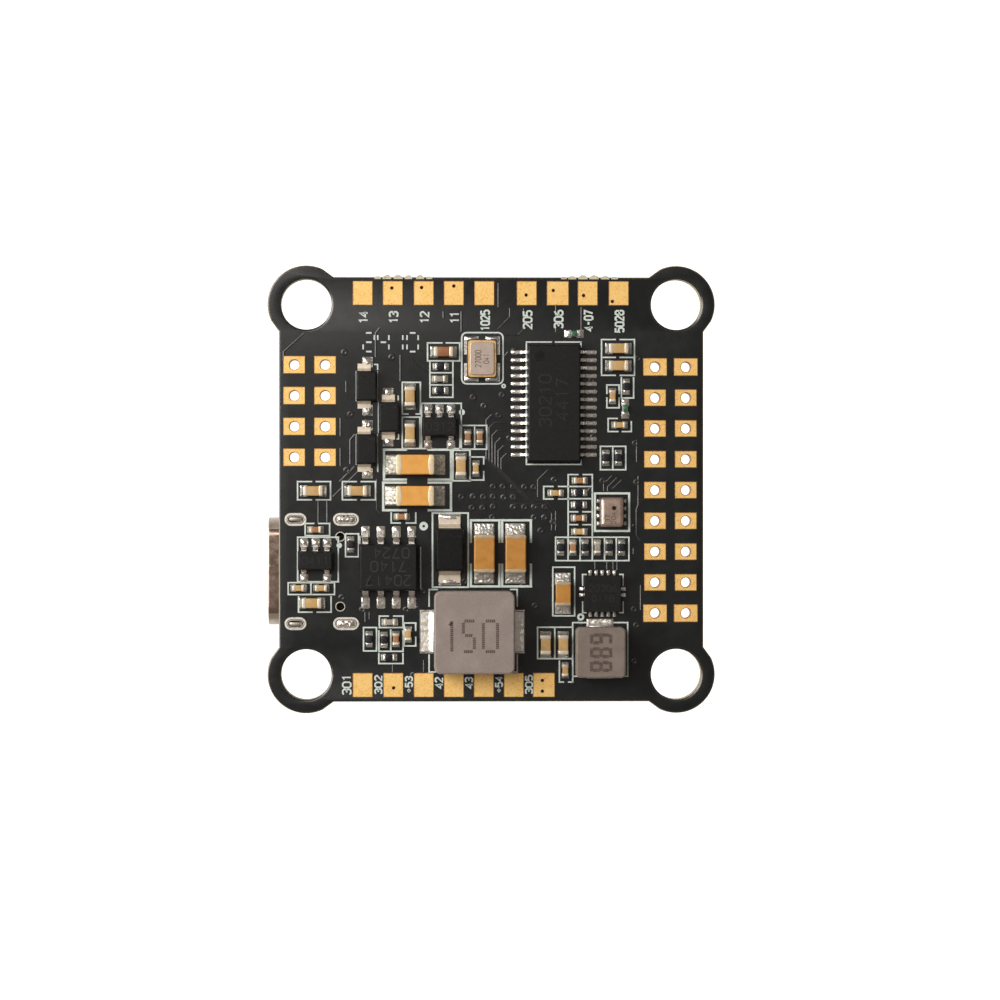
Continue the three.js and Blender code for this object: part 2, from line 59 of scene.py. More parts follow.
LIGHTS = [
    ("key_softbox", (-0.35, 0.12, 0.28), (0.0, 0.0, 0.0), 0.35, 2.98),
    ("veil_softbox", (-0.092, 0.080, 0.30), (0.0, 0.0, 0.0), 0.13, 0.17),
]


# ------------------------------------------------------------------ materials
def _node(nt, kind, **props):
    n = nt.nodes.new(kind)
    for k, v in props.items():
        setattr(n, k, v)
    return n


class Mat:
    """A Principled material whose colour, roughness and relief come from procedural patterns in object space."""

    def __init__(self, name, base, rough, metal=0.0, ior=1.5, coat=0.0, coat_rough=0.1, spec=0.5):
        self.mat = bpy.data.materials.new(name)
        self.mat.use_nodes = True
        self.nt = self.mat.node_tree
        self.bsdf = self.nt.nodes["Principled BSDF"]
        self.b = self.bsdf.inputs
        self.b["Base Color"].default_value = (*base, 1)
        self.b["Roughness"].default_value = rough
        self.b["Metallic"].default_value = metal
        self.b["IOR"].default_value = ior
        self.b["Specular IOR Level"].default_value = spec
        if coat:
            self.b["Coat Weight"].default_value = coat
            self.b["Coat Roughness"].default_value = coat_rough
        self.mat.diffuse_color = (*base, 1)
        self.base = base
        self.rough = rough
        self.coords = _node(self.nt, "ShaderNodeTexCoord").outputs["Object"]
        self.last_bump = None
        self.colour = None

    def _stretched(self, stretch):
        if stretch is None:
            return self.coords
        m = _node(self.nt, "ShaderNodeMapping")
        m.inputs["Scale"].default_value = stretch
        self.nt.links.new(self.coords, m.inputs["Vector"])
        return m.outputs["Vector"]

    def noise(self, scale, detail=3.0, rough=0.55, stretch=None, distortion=0.0):
        n = _node(self.nt, "ShaderNodeTexNoise")
        n.inputs["Scale"].default_value = scale
        n.inputs["Detail"].default_value = detail
        n.inputs["Roughness"].default_value = rough
        n.inputs["Distortion"].default_value = distortion
        self.nt.links.new(self._stretched(stretch), n.inputs["Vector"])
        return n.outputs["Fac"]

    def voronoi(self, scale, stretch=None, feature="F1"):
        n = _node(self.nt, "ShaderNodeTexVoronoi", feature=feature)
        n.inputs["Scale"].default_value = scale
        self.nt.links.new(self._stretched(stretch), n.inputs["Vector"])
        return n.outputs["Distance"]

    def wave(self, scale, direction="X", distortion=0.0):
        n = _node(self.nt, "ShaderNodeTexWave", wave_type="BANDS", bands_direction=direction)
        n.inputs["Scale"].default_value = scale
        n.inputs["Distortion"].default_value = distortion
        self.nt.links.new(self.coords, n.inputs["Vector"])
        return n.outputs["Fac"]

    def ranged(self, value, lo, hi, to_lo=0.0, to_hi=1.0):
        r = _node(self.nt, "ShaderNodeMapRange")
        r.inputs["From Min"].default_value = lo
        r.inputs["From Max"].default_value = hi
        r.inputs["To Min"].default_value = to_lo
        r.inputs["To Max"].default_value = to_hi
        self.nt.links.new(value, r.inputs["Value"])
        return r.outputs["Result"]

    def tint(self, value, other, lo=0.35, hi=0.65, amount=1.0):
        """Mixes the colour so far with another where the pattern is high."""
        mix = _node(self.nt, "ShaderNodeMix", data_type="RGBA")
        fac = self.ranged(value, lo, hi, 0.0, amount)
        self.nt.links.new(fac, mix.inputs["Factor"])
        a, b = [s for s in mix.inputs if s.name in ("A", "B") and s.type == "RGBA"]
        if self.colour is None:
            a.default_value = (*self.base, 1)
        else:
            self.nt.links.new(self.colour, a)
        b.default_value = (*other, 1)
        self.colour = [s for s in mix.outputs if s.type == "RGBA"][0]
        self.nt.links.new(self.colour, self.b["Base Color"])
        return self

    def rough_by(self, value, r0, r1, lo=0.3, hi=0.7):
        self.nt.links.new(self.ranged(value, lo, hi, r0, r1), self.b["Roughness"])
        return self

    def bump(self, value, strength, distance_mm):
        n = _node(self.nt, "ShaderNodeBump")
        n.inputs["Strength"].default_value = strength
        n.inputs["Distance"].default_value = distance_mm * MM
        self.nt.links.new(value, n.inputs["Height"])
        if self.last_bump is not None:
            self.nt.links.new(self.last_bump, n.inputs["Normal"])
        self.last_bump = n.outputs["Normal"]
        self.nt.links.new(self.last_bump, self.b["Normal"])
        return self


def make_materials():
    m = {}
    k = Mat("solder_mask", (0.0048, 0.0056, 0.0062), 0.31, ior=1.5)
    k.tint(k.noise(350, 3), (0.0078, 0.0088, 0.0096), 0.35, 0.75)
    k.rough_by(k.noise(900, 2), 0.27, 0.35)
    k.bump(k.noise(5200, 2), 0.10, 0.02)
    k.bump(k.noise(1300, 3), 0.12, 0.03)
    m["mask"] = k.mat

    k = Mat("solder_mask_rim", (0.0110, 0.0120, 0.0130), 0.20, ior=1.55, coat=0.5, coat_rough=0.12)
    k.tint(k.noise(1400, 3), (0.020, 0.0215, 0.023), 0.40, 0.75)
    k.rough_by(k.noise(2600, 3), 0.12, 0.34)
    k.bump(k.noise(1900, 3), 0.16, 0.03)
    m["rim"] = k.mat

    k = Mat("copper_under_mask", (0.0095, 0.0100, 0.0105), 0.30, ior=1.52, coat=0.15, coat_rough=0.22)
    k.tint(k.noise(700, 3), (0.017, 0.0160, 0.0150), 0.35, 0.75)
    k.rough_by(k.noise(1500, 2), 0.24, 0.42)
    k.bump(k.noise(1600, 3), 0.20, 0.03)
    m["trace"] = k.mat

    k = Mat("glass_epoxy_edge", (0.300, 0.245, 0.128), 0.58, spec=0.4)
    k.tint(k.wave(1180, "Z", 0.08), (0.225, 0.180, 0.088), 0.35, 0.80, 0.75)
    k.tint(k.noise(3800, 3, stretch=(1, 1, 2.2)), (0.42, 0.365, 0.215), 0.54, 0.78, 0.45)
    k.bump(k.noise(5200, 3, stretch=(1, 1, 3)), 0.28, 0.02)
    m["fr4"] = k.mat

    k = Mat("torn_glass_fibre", (0.64, 0.60, 0.46), 0.55, spec=0.5)
    k.tint(k.noise(5200, 3, stretch=(1, 3, 3)), (0.36, 0.32, 0.20), 0.45, 0.72)
    k.bump(k.noise(9000, 3, stretch=(1, 4, 4)), 0.7, 0.06)
    m["fibre"] = k.mat

    k = Mat("gold_plating", (0.97, 0.625, 0.205), 0.46, metal=0.42)
    k.tint(k.noise(7600, 3, 0.6), (0.74, 0.34, 0.065), 0.50, 0.70, 0.85)
    k.tint(k.noise(1100, 2), (0.98, 0.68, 0.27), 0.45, 0.7, 0.5)
    k.rough_by(k.noise(3000, 3), 0.38, 0.56)
    k.bump(k.noise(7600, 3), 0.35, 0.02)
    m["gold"] = k.mat

    # The flank's darker orange-brown is partly the copper colour of the side walls and partly painted shade along the
    # pad edges and inside the barrels.
    k = Mat("gold_pad_flank", (0.42, 0.205, 0.055), 0.55, metal=0.45)
    k.tint(k.noise(4200, 3), (0.26, 0.115, 0.030), 0.42, 0.70)
    k.bump(k.noise(7600, 3), 0.30, 0.02)
    m["flank"] = k.mat

    k = Mat("tinned_ring", (0.80, 0.755, 0.68), 0.42, metal=0.55)
    k.tint(k.noise(3000, 3), (0.50, 0.465, 0.41), 0.45, 0.72, 0.8)
    k.bump(k.noise(5200, 3), 0.45, 0.04)
    m["ring"] = k.mat

    k = Mat("solder", (0.80, 0.77, 0.72), 0.30, metal=0.95)
    k.tint(k.noise(4200, 4, 0.65), (0.50, 0.46, 0.41), 0.48, 0.72, 0.8)
    k.rough_by(k.noise(3600, 3), 0.22, 0.44)
    k.bump(k.noise(4600, 3, 0.6), 0.50, 0.05)
    m["solder"] = k.mat

    k = Mat("tin_plate", (0.76, 0.72, 0.67), 0.30, metal=1.0)
    k.tint(k.noise(2600, 3), (0.55, 0.50, 0.45), 0.45, 0.72, 0.8)
    k.rough_by(k.noise(3600, 2), 0.22, 0.38)
    k.bump(k.noise(7000, 3), 0.30, 0.02)
    m["tin"] = k.mat

    k = Mat("crinkled_solder_sheet", (0.86, 0.83, 0.76), 0.36, metal=0.85)
    k.tint(k.noise(2600, 3), (0.66, 0.62, 0.53), 0.45, 0.72, 0.8)
    k.tint(k.noise(9000, 2), (0.50, 0.46, 0.40), 0.58, 0.76, 0.6)
    k.bump(k.noise(5200, 4, 0.65), 0.55, 0.04)
    m["sheet"] = k.mat

    k = Mat("fired_end_cap", (0.78, 0.69, 0.56), 0.40, metal=0.62)
    k.tint(k.noise(2600, 3), (0.58, 0.49, 0.37), 0.48, 0.74, 0.8)
    k.rough_by(k.noise(2600, 2), 0.34, 0.50)
    k.bump(k.noise(6200, 2), 0.14, 0.015)
    m["cap"] = k.mat

    k = Mat("toned_end_cap", (0.50, 0.40, 0.27), 0.42, metal=0.40)
    k.tint(k.noise(2600, 3), (0.36, 0.28, 0.18), 0.45, 0.74, 0.8)
    k.bump(k.noise(6200, 2), 0.14, 0.015)
    m["warmcap"] = k.mat

    k = Mat("legend_ink", (0.60, 0.665, 0.625), 0.58, spec=0.4)
    k.tint(k.noise(2600, 3), (0.42, 0.475, 0.445), 0.50, 0.78, 0.8)
    k.bump(k.noise(8000, 2), 0.25, 0.015)
    m["ink"] = k.mat

    k = Mat("moulded_epoxy", (0.0048, 0.0050, 0.0052), 0.52, spec=0.27)
    k.tint(k.noise(5200, 3), (0.0098, 0.0098, 0.0100), 0.48, 0.72)
    k.rough_by(k.noise(1800, 3), 0.42, 0.60)
    k.bump(k.noise(9000, 3), 0.32, 0.02)
    m["epoxy"] = k.mat

    k = Mat("moulded_epoxy_deep", (0.0030, 0.0031, 0.0033), 0.54, spec=0.20)
    k.tint(k.noise(5200, 3), (0.0075, 0.0075, 0.0075), 0.48, 0.72)
    k.rough_by(k.noise(1800, 3), 0.44, 0.60)
    k.bump(k.noise(9000, 3), 0.30, 0.02)
    m["epoxy_deep"] = k.mat

    k = Mat("moulded_epoxy_gloss", (0.0035, 0.0035, 0.0040), 0.24, spec=0.5)
    k.tint(k.noise(5200, 3), (0.0065, 0.0065, 0.0070), 0.48, 0.72)
    k.rough_by(k.noise(2400, 3), 0.18, 0.32)
    m["epoxy_gloss"] = k.mat

    k = Mat("laser_mark", (0.033, 0.033, 0.032), 0.66, spec=0.3)
    k.tint(k.noise(9000, 3), (0.019, 0.019, 0.019), 0.46, 0.70)
    m["mark"] = k.mat

    k = Mat("laser_mark_faint", (0.019, 0.019, 0.0185), 0.62, spec=0.35)
    k.tint(k.noise(9000, 3), (0.0115, 0.0115, 0.0115), 0.44, 0.68)
    m["mark_faint"] = k.mat

    k = Mat("solder_crumpled", (0.84, 0.81, 0.75), 0.42, metal=0.88)
    k.tint(k.noise(6200, 4, 0.7), (0.46, 0.43, 0.38), 0.50, 0.70, 0.9)
    k.tint(k.noise(1900, 3), (0.66, 0.62, 0.55), 0.45, 0.72, 0.6)
    k.rough_by(k.noise(3600, 3), 0.34, 0.52)
    k.bump(k.noise(4600, 4, 0.7), 0.85, 0.07)
    m["crumple"] = k.mat

    k = Mat("solder_crumpled_dull", (0.56, 0.53, 0.47), 0.50, metal=0.80)
    k.tint(k.noise(5200, 4, 0.7), (0.22, 0.20, 0.17), 0.47, 0.66, 0.9)
    k.tint(k.noise(1700, 3), (0.40, 0.37, 0.32), 0.45, 0.72, 0.6)
    k.rough_by(k.noise(3600, 3), 0.42, 0.60)
    k.bump(k.noise(4200, 4, 0.7), 0.80, 0.06)
    m["dull"] = k.mat

    k = Mat("cream_end_cap", (0.78, 0.64, 0.43), 0.42, metal=0.35)
    k.tint(k.noise(2600, 3), (0.60, 0.47, 0.29), 0.46, 0.74, 0.8)
    k.rough_by(k.noise(2600, 2), 0.34, 0.50)
    k.bump(k.noise(6200, 2), 0.16, 0.015)
    m["creamcap"] = k.mat

    k = Mat("pressed_ferrite", (0.258, 0.212, 0.190), 0.62, spec=0.4)
    k.tint(k.noise(7600, 3, 0.7), (0.19, 0.148, 0.13), 0.46, 0.74, 0.75)
    k.tint(k.noise(600, 3), (0.325, 0.268, 0.245), 0.45, 0.75, 0.6)
    k.rough_by(k.noise(4200, 2), 0.50, 0.72)
    k.bump(k.noise(8200, 3), 0.35, 0.025)
    m["ferrite"] = k.mat

    k = Mat("pressed_ferrite_fine", (0.178, 0.141, 0.117), 0.60, spec=0.4)
    k.tint(k.noise(7600, 3, 0.7), (0.140, 0.108, 0.090), 0.46, 0.74, 0.75)
    k.tint(k.noise(700, 3), (0.240, 0.195, 0.168), 0.45, 0.75, 0.6)
    k.rough_by(k.noise(4200, 2), 0.48, 0.70)
    k.bump(k.noise(8200, 3), 0.35, 0.025)
    m["ferrite_fine"] = k.mat

    k = Mat("ferrite_ink", (0.085, 0.058, 0.048), 0.62, spec=0.3)
    k.tint(k.noise(5200, 3), (0.14, 0.10, 0.085), 0.45, 0.7)
    m["ferrite_ink"] = k.mat

    def ceramic(name, a, b, rough=0.34):
        c = Mat(name, a, rough, spec=0.5)
        c.tint(c.noise(1500, 3), b, 0.40, 0.74)
        c.tint(c.noise(8200, 2), tuple(v * 0.72 for v in a), 0.58, 0.80, 0.6)
        c.rough_by(c.noise(2800, 3), rough - 0.06, rough + 0.12)
        c.bump(c.noise(6200, 3), 0.20, 0.02)
        return c.mat

    m["orange"] = ceramic("orange_ceramic", (0.745, 0.358, 0.074), (0.66, 0.30, 0.058))
    m["ochre"] = ceramic("ochre_ceramic", (0.475, 0.218, 0.040), (0.40, 0.172, 0.028))
    m["tan"] = ceramic("tan_ceramic", (0.54, 0.345, 0.140), (0.45, 0.275, 0.100))
    m["brown"] = ceramic("brown_ceramic", (0.31, 0.130, 0.050), (0.24, 0.092, 0.034))
    m["rust"] = ceramic("rust_ceramic", (0.38, 0.185, 0.078), (0.30, 0.135, 0.055))
    m["grey"] = ceramic("grey_ceramic", (0.33, 0.30, 0.265), (0.25, 0.225, 0.20))
    m["alumina"] = ceramic("white_alumina", (0.66, 0.65, 0.62), (0.55, 0.54, 0.51))
    m["base"] = ceramic("dark_ceramic_base", (0.040, 0.036, 0.034), (0.026, 0.024, 0.023))

    k = Mat("resistor_overcoat", (0.0105, 0.0110, 0.0135), 0.28, spec=0.5)
    k.tint(k.noise(5200, 3), (0.020, 0.021, 0.025), 0.45, 0.75)
    k.rough_by(k.noise(3500, 2), 0.22, 0.38)
    k.bump(k.noise(7000, 2), 0.2, 0.02)
    m["overcoat"] = k.mat

    k = Mat("lid_metal", (0.52, 0.425, 0.36), 0.38, metal=0.42)
    k.tint(k.noise(5200, 3, 0.6), (0.43, 0.345, 0.29), 0.46, 0.76, 0.8)
    k.rough_by(k.noise(1600, 2), 0.28, 0.42)
    k.bump(k.noise(8200, 2), 0.16, 0.015)
    m["lid"] = k.mat

    k = Mat("lid_gold_rim", (0.93, 0.60, 0.27), 0.36, metal=0.75)
    k.tint(k.noise(3200, 3), (0.66, 0.38, 0.15), 0.45, 0.72)
    k.bump(k.noise(6200, 2), 0.25, 0.02)
    m["goldrim"] = k.mat

    k = Mat("lid_rose", (0.50, 0.368, 0.300), 0.30, metal=0.66)
    k.tint(k.noise(1300, 2), (0.41, 0.295, 0.24), 0.45, 0.75)
    k.rough_by(k.noise(2200, 2), 0.22, 0.38)
    k.bump(k.noise(6500, 2), 0.15, 0.015)
    m["rose"] = k.mat

    # Painted reflection: the shell metal is tinted reddish-brown to stand for the brown surroundings it mirrors; the
    # same tint goes on the shell's windows, the tongue's side rails and the button's ring.
    k = Mat("brown_reflection_shell", (0.475, 0.350, 0.285), 0.18, metal=1.0)
    k.tint(k.noise(420, 2), (0.425, 0.305, 0.243), 0.40, 0.70)
    k.rough_by(k.noise(1800, 2), 0.13, 0.26)
    k.bump(k.noise(2600, 2), 0.05, 0.02)
    m["steel"] = k.mat

    # Painted reflection: a paler, rougher copy of the shell metal for its curved ends and tab tops, standing for the
    # white floor mirrored there.
    k = Mat("rough_pale_reflection_shell", (0.49, 0.435, 0.375), 0.50, metal=0.90)
    k.tint(k.noise(2600, 2), (0.435, 0.383, 0.328), 0.42, 0.72)
    k.rough_by(k.noise(2600, 2), 0.34, 0.50)
    k.bump(k.noise(4200, 2), 0.10, 0.02)
    m["rough_pale_reflection_steel"] = k.mat

    k = Mat("black_polymer", (0.0105, 0.0105, 0.0110), 0.45)
    k.tint(k.noise(4200, 3), (0.019, 0.019, 0.020), 0.45, 0.75)
    k.bump(k.noise(7200, 3), 0.28, 0.02)
    m["black"] = k.mat

    k = Mat("cream_polymer", (0.66, 0.57, 0.42), 0.42)
    k.tint(k.noise(3200, 3), (0.52, 0.44, 0.31), 0.48, 0.76)
    k.bump(k.noise(7200, 3), 0.22, 0.02)
    m["cream"] = k.mat

    k = Mat("lamp_resin", (0.05, 0.16, 0.085), 0.20, coat=0.3)
    k.tint(k.noise(4200, 2), (0.02, 0.075, 0.045), 0.40, 0.70)
    k.bump(k.noise(6200, 2), 0.12, 0.02)
    m["green"] = k.mat

    k = Mat("lamp_resin_clear", (0.62, 0.66, 0.50), 0.18, coat=0.4)
    k.tint(k.noise(3600, 2), (0.50, 0.55, 0.38), 0.42, 0.70)
    k.bump(k.noise(6200, 2), 0.12, 0.02)
    m["clear"] = k.mat

    # Painted shade: a near-black disc set into small holes stands for the darkness inside them.
    k = Mat("hole_shadow", (0.004, 0.004, 0.004), 0.75, spec=0.2)
    k.tint(k.noise(4200, 2), (0.008, 0.008, 0.008), 0.40, 0.70)
    m["hole_shade"] = k.mat

    k = Mat("floor_paper", (0.93, 0.93, 0.93), 0.85, spec=0.2)
    k.tint(k.noise(30, 2), (0.90, 0.90, 0.90), 0.30, 0.80)
    k.bump(k.noise(600, 2), 0.05, 0.05)
    k.b["Emission Color"].default_value = (1.0, 1.0, 1.0, 1)
    k.b["Emission Strength"].default_value = FLOOR_GLOW
    m["floor"] = k.mat
    return m


# ------------------------------------------------------------------ shapes: each returns (vertices, faces) in millimetres
def from_bm(bm):
    bm.verts.index_update()
    v = [tuple(x.co) for x in bm.verts]
    f = [tuple(x.index for x in p.verts) for p in bm.faces]
    bm.free()
    return v, f


_cache = {}


def rbox(x0, x1, y0, y1, z0, z1, r=0.04, seg=2):
    """A block with rounded edges."""
    key = (round(x1 - x0, 4), round(y1 - y0, 4), round(z1 - z0, 4), r, seg)
    if key not in _cache:
        bm = bmesh.new()
        bmesh.ops.create_cube(bm, size=1.0)
        for v in bm.verts:
            v.co = Vector((v.co.x * key[0], v.co.y * key[1], v.co.z * key[2]))
        r_ = min(r, 0.45 * min(key[:3]))
        bmesh.ops.bevel(bm, geom=bm.edges[:], offset=r_, segments=seg, profile=0.5, affect="EDGES", clamp_overlap=True)
        _cache[key] = from_bm(bm)
    v, f = _cache[key]
    cx, cy, cz = (x0 + x1) / 2, (y0 + y1) / 2, (z0 + z1) / 2
    return [(a + cx, b + cy, c + cz) for a, b, c in v], f


def moulded(length, width, height, draft, z0, r=0.06, part=0.5):
    """A moulded body with a parting line and drafted sides."""
    bm = bmesh.new()
    zp = z0 + height * part
    rings = []
    for z, d in ((z0, draft), (zp - 0.025, 0.0), (zp + 0.025, 0.0), (z0 + height, draft)):
        a, b = length / 2 - d, width / 2 - d
        rings.append([bm.verts.new((x, y, z)) for x, y in ((-a, -b), (a, -b), (a, b), (-a, b))])
    bm.faces.new(list(reversed(rings[0])))
    bm.faces.new(rings[3])
    for lo, hi in zip(rings, rings[1:]):
        for i in range(4):
            bm.faces.new((lo[i], lo[(i + 1) % 4], hi[(i + 1) % 4], hi[i]))
    top = [e for e in bm.edges if all(abs(v.co.z - (z0 + height)) < 1e-6 for v in e.verts)]
    side = [e for e in bm.edges if abs(e.verts[0].co.z - e.verts[1].co.z) > 1e-3]
    bmesh.ops.bevel(bm, geom=top + side, offset=r, segments=2, profile=0.5, affect="EDGES", clamp_overlap=True)
    return from_bm(bm)


def circle(cx, cy, r, n, phase=0.0):
    return [(cx + r * math.cos(phase + 2 * math.pi * i / n), cy + r * math.sin(phase + 2 * math.pi * i / n)) for i in range(n)]


def rect(x0, x1, y0, y1, r=0.0, n=3):
    if r <= 0:
        return [(x0, y0), (x1, y0), (x1, y1), (x0, y1)]
    out = []
    for cx, cy, a in ((x1 - r, y0 + r, -90), (x1 - r, y1 - r, 0), (x0 + r, y1 - r, 90), (x0 + r, y0 + r, 180)):
        for i in range(n + 1):
            t = math.radians(a + 90 * i / n)
            out.append((cx + r * math.cos(t), cy + r * math.sin(t)))
    return out


def obround(cx, cy, length, width, n=8):
    r, a, out = width / 2, length / 2 - width / 2, []
    for x, a0 in ((cx + a, -90), (cx - a, 90)):
        for i in range(n + 1):
            t = math.radians(a0 + 180 * i / n)
            out.append((x + r * math.cos(t), cy + r * math.sin(t)))
    return out


def inset(loop, d):
    """The counter-clockwise loop moved inwards by d (outwards if d is negative)."""
    out, n = [], len(loop)
    for i in range(n):
        p, q, r = loop[i - 1], loop[i], loop[(i + 1) % n]
        ax, ay, bx, by = q[0] - p[0], q[1] - p[1], r[0] - q[0], r[1] - q[1]
        la, lb = math.hypot(ax, ay) or 1e-9, math.hypot(bx, by) or 1e-9
        n1, n2 = (-ay / la, ax / la), (-by / lb, bx / lb)
        s = 1 + n1[0] * n2[0] + n1[1] * n2[1]
        s = max(s, 0.35)
        out.append((q[0] + d * (n1[0] + n2[0]) / s, q[1] + d * (n1[1] + n2[1]) / s))
    return out


def tess(loops):
    return geometry.tessellate_polygon([[Vector((x, y, 0)) for x, y in l] for l in loops])


def plate(outer, holes, z0, z1, top=0.0, bottom=0.0, hole_top=0.0, hole_bottom=0.0):
    """A flat plate with holes and chamfered rims. Returns vertices and three face lists: upper face, lower face, rims and walls."""
    v, up, down, wall = [], [], [], []

    def ring(loop, z):
        start = len(v)
        v.extend((x, y, z) for x, y in loop)
        return list(range(start, start + len(loop)))

    tops, bottoms = [], []
    for k, loop in enumerate([outer] + list(holes)):
        sign = 1 if k == 0 else -1
        ct, cb = (top, bottom) if k == 0 else (hole_top, hole_bottom)
        (ct, dt), (cb, db) = ((c if isinstance(c, tuple) else (c, c)) for c in (ct, cb))
        rings = [ring(inset(loop, sign * cb) if cb else loop, z0)]
        if cb:
            rings.append(ring(loop, z0 + db))
        if ct:
            rings.append(ring(loop, z1 - dt))
        rings.append(ring(inset(loop, sign * ct) if ct else loop, z1))
        for a, b in zip(rings, rings[1:]):
            n = len(a)
            for i in range(n):
                j = (i + 1) % n
                wall.append((a[i], a[j], b[j], b[i]) if k == 0 else (a[j], a[i], b[i], b[j]))
        bottoms.append(rings[0])
        tops.append(rings[-1])
    for ids, faces in ((tops, up), (bottoms, down)):
        flat = [i for l in ids for i in l]
        for t in tess([[(v[i][0], v[i][1]) for i in l] for l in ids]):
            faces.append(tuple(flat[i] for i in t))
    return v, up, down, wall


def slab(outer, holes, z0, z1, top=0.0, bottom=0.0, hole_top=0.0, hole_bottom=0.0):
    v, up, down, wall = plate(outer, holes, z0, z1, top, bottom, hole_top, hole_bottom)
    return v, up + down + wall


def ribbon(points, width, z0, z1, closed=False, taper=0.02, ends=0.0):
    """A raised line of ink or copper along a path, slightly narrower on top."""
    n = len(points)
    v = []
    for i in range(n):
        p = points[i - 1] if (closed or i > 0) else None
        q = points[i]
        r = points[(i + 1) % n] if (closed or i < n - 1) else None
        ns = []
        for a, b in ((p, q), (q, r)):
            if a is None or b is None:
                continue
            dx, dy = b[0] - a[0], b[1] - a[1]
            l = math.hypot(dx, dy) or 1e-9
            ns.append((-dy / l, dx / l))
        if len(ns) == 2:
            s = max(1 + ns[0][0] * ns[1][0] + ns[0][1] * ns[1][1], 0.5)
            nx, ny = (ns[0][0] + ns[1][0]) / s, (ns[0][1] + ns[1][1]) / s
        else:
            nx, ny = ns[0]
        h, t = width / 2, width / 2 - min(taper, width * 0.4)
        v += [(q[0] + nx * h, q[1] + ny * h, z0), (q[0] + nx * t, q[1] + ny * t, z1), (q[0] - nx * t, q[1] - ny * t, z1), (q[0] - nx * h, q[1] - ny * h, z0)]
    f = []
    for i in range(n if closed else n - 1):
        a, b = 4 * i, 4 * ((i + 1) % n)
        for k in range(4):
            f.append((a + k, a + (k + 1) % 4, b + (k + 1) % 4, b + k))
    if not closed:
        f.append((3, 2, 1, 0))
        e = 4 * (n - 1)
        f.append((e, e + 1, e + 2, e + 3))
    return v, f


def field(nx, ny, fn, z_base=0.0):
    """A closed lump over a grid: fn(u, v) gives (x, y, z) for u and v from 0 to 1, and its foot is flat at z_base."""
    v = [fn(i / nx, j / ny) for j in range(ny + 1) for i in range(nx + 1)]
    at = lambda i, j: j * (nx + 1) + i
    f = [(at(i, j), at(i + 1, j), at(i + 1, j + 1), at(i, j + 1)) for j in range(ny) for i in range(nx)]
    edge = [at(i, 0) for i in range(nx)] + [at(nx, j) for j in range(ny)] + [at(i, ny) for i in range(nx, 0, -1)] + [at(0, j) for j in range(ny, 0, -1)]
    start = len(v)
    v += [(v[i][0], v[i][1], z_base) for i in edge]
    n = len(edge)
    for k in range(n):
        f.append((edge[(k + 1) % n], edge[k], start + k, start + (k + 1) % n))
    f.append(tuple(start + k for k in reversed(range(n))))
    return v, f


def fillet(length, width, height, seed=0, foot=0.03, power=2.0, nx=8, ny=8, rough=0.03, lip=0.10):
    """Solder that climbs a terminal's end: it starts at the wall (x = 0) and runs out to x = length."""
    def fn(u, w):
        x, y = u * length, (w - 0.5) * width
        dy = min(w, 1 - w) * width
        dx = (1 - u) * length
        e = min(1.0, max(min(dy, dx) / lip, 0.0))
        e = math.sqrt(max(1 - (1 - e) ** 2, 0.0))
        side = 1 - 0.35 * (abs(2 * w - 1) ** 3)
        z = foot * 0.6 + ((height - foot) * (1 - u) ** power * side + foot) * e
        z += rough * e * noise.noise(Vector((x * 5.0 + seed * 7.3, y * 5.0 + seed * 3.1, seed)))
        return (x, y, max(z, 0.012))
    return field(nx, ny, fn)


def mound(x0, x1, y0, y1, height, seed=0, nx=8, ny=6, foot=0.02, rough=0.02, power=2.6):
    """A low dome of solder over a rectangle."""
    def fn(u, w):
        x, y = x0 + u * (x1 - x0), y0 + w * (y1 - y0)
        a, b = abs(2 * u - 1), abs(2 * w - 1)
        z = foot * 0.5 + height * (1 - a ** power) * (1 - b ** power)
        z += rough * (1 - a ** 4) * (1 - b ** 4) * noise.noise(Vector((x * 6 + seed * 5.1, y * 6 + seed * 2.7, seed * 1.3)))
        # corners drawn in so that the outline is round
        k = 1 - 0.13 * (a ** 4) * (b ** 4)
        cx, cy = (x0 + x1) / 2, (y0 + y1) / 2
        return (cx + (x - cx) * k, cy + (y - cy) * k, max(z, 0.010))
    return field(nx, ny, fn)


def rounded_path(points, radius, steps=4):
    out = [points[0]]
    for a, b, c in zip(points, points[1:], points[2:]):
        va, vc = Vector(a) - Vector(b), Vector(c) - Vector(b)
        d = min(radius, va.length * 0.48, vc.length * 0.48)
        s, e = Vector(b) + va.normalized() * d, Vector(b) + vc.normalized() * d
        for i in range(steps + 1):
            t = i / steps
            p = s * (1 - t) ** 2 + Vector(b) * 2 * t * (1 - t) + e * t ** 2
            out.append(tuple(p))
    out.append(points[-1])
    return out


def lead(width, reach, root, t=0.15, shoulder=0.2, knee=0.42, lift=0.0):
    """A gull-wing lead. Its root is at x = 0 and its foot ends at x = reach, on z = lift."""
    path = rounded_path([(-0.15, root), (shoulder * reach, root), (knee * reach, t / 2 + lift), (reach, t / 2 + lift)], 0.16 * reach)
    c = min(0.18 * t, 0.05)
    h, w = t / 2, width / 2
    section = [(-w + c, -h), (w - c, -h), (w, -h + c), (w, h - c), (w - c, h), (-w + c, h), (-w, h - c), (-w, -h + c)]
    v, f = [], []
    for i, (x, z) in enumerate(path):
        a = path[max(i - 1, 0)]
        b = path[min(i + 1, len(path) - 1)]
        dx, dz = b[0] - a[0], b[1] - a[1]
        l = math.hypot(dx, dz) or 1e-9
        nx, nz = -dz / l, dx / l
        v += [(x + nx * q, p, z + nz * q) for p, q in section]
    m = len(section)
    for i in range(len(path) - 1):
        for k in range(m):
            f.append((i * m + k, i * m + (k + 1) % m, (i + 1) * m + (k + 1) % m, (i + 1) * m + k))
    f.append(tuple(range(m - 1, -1, -1)))
    f.append(tuple((len(path) - 1) * m + k for k in range(m)))
    return v, f


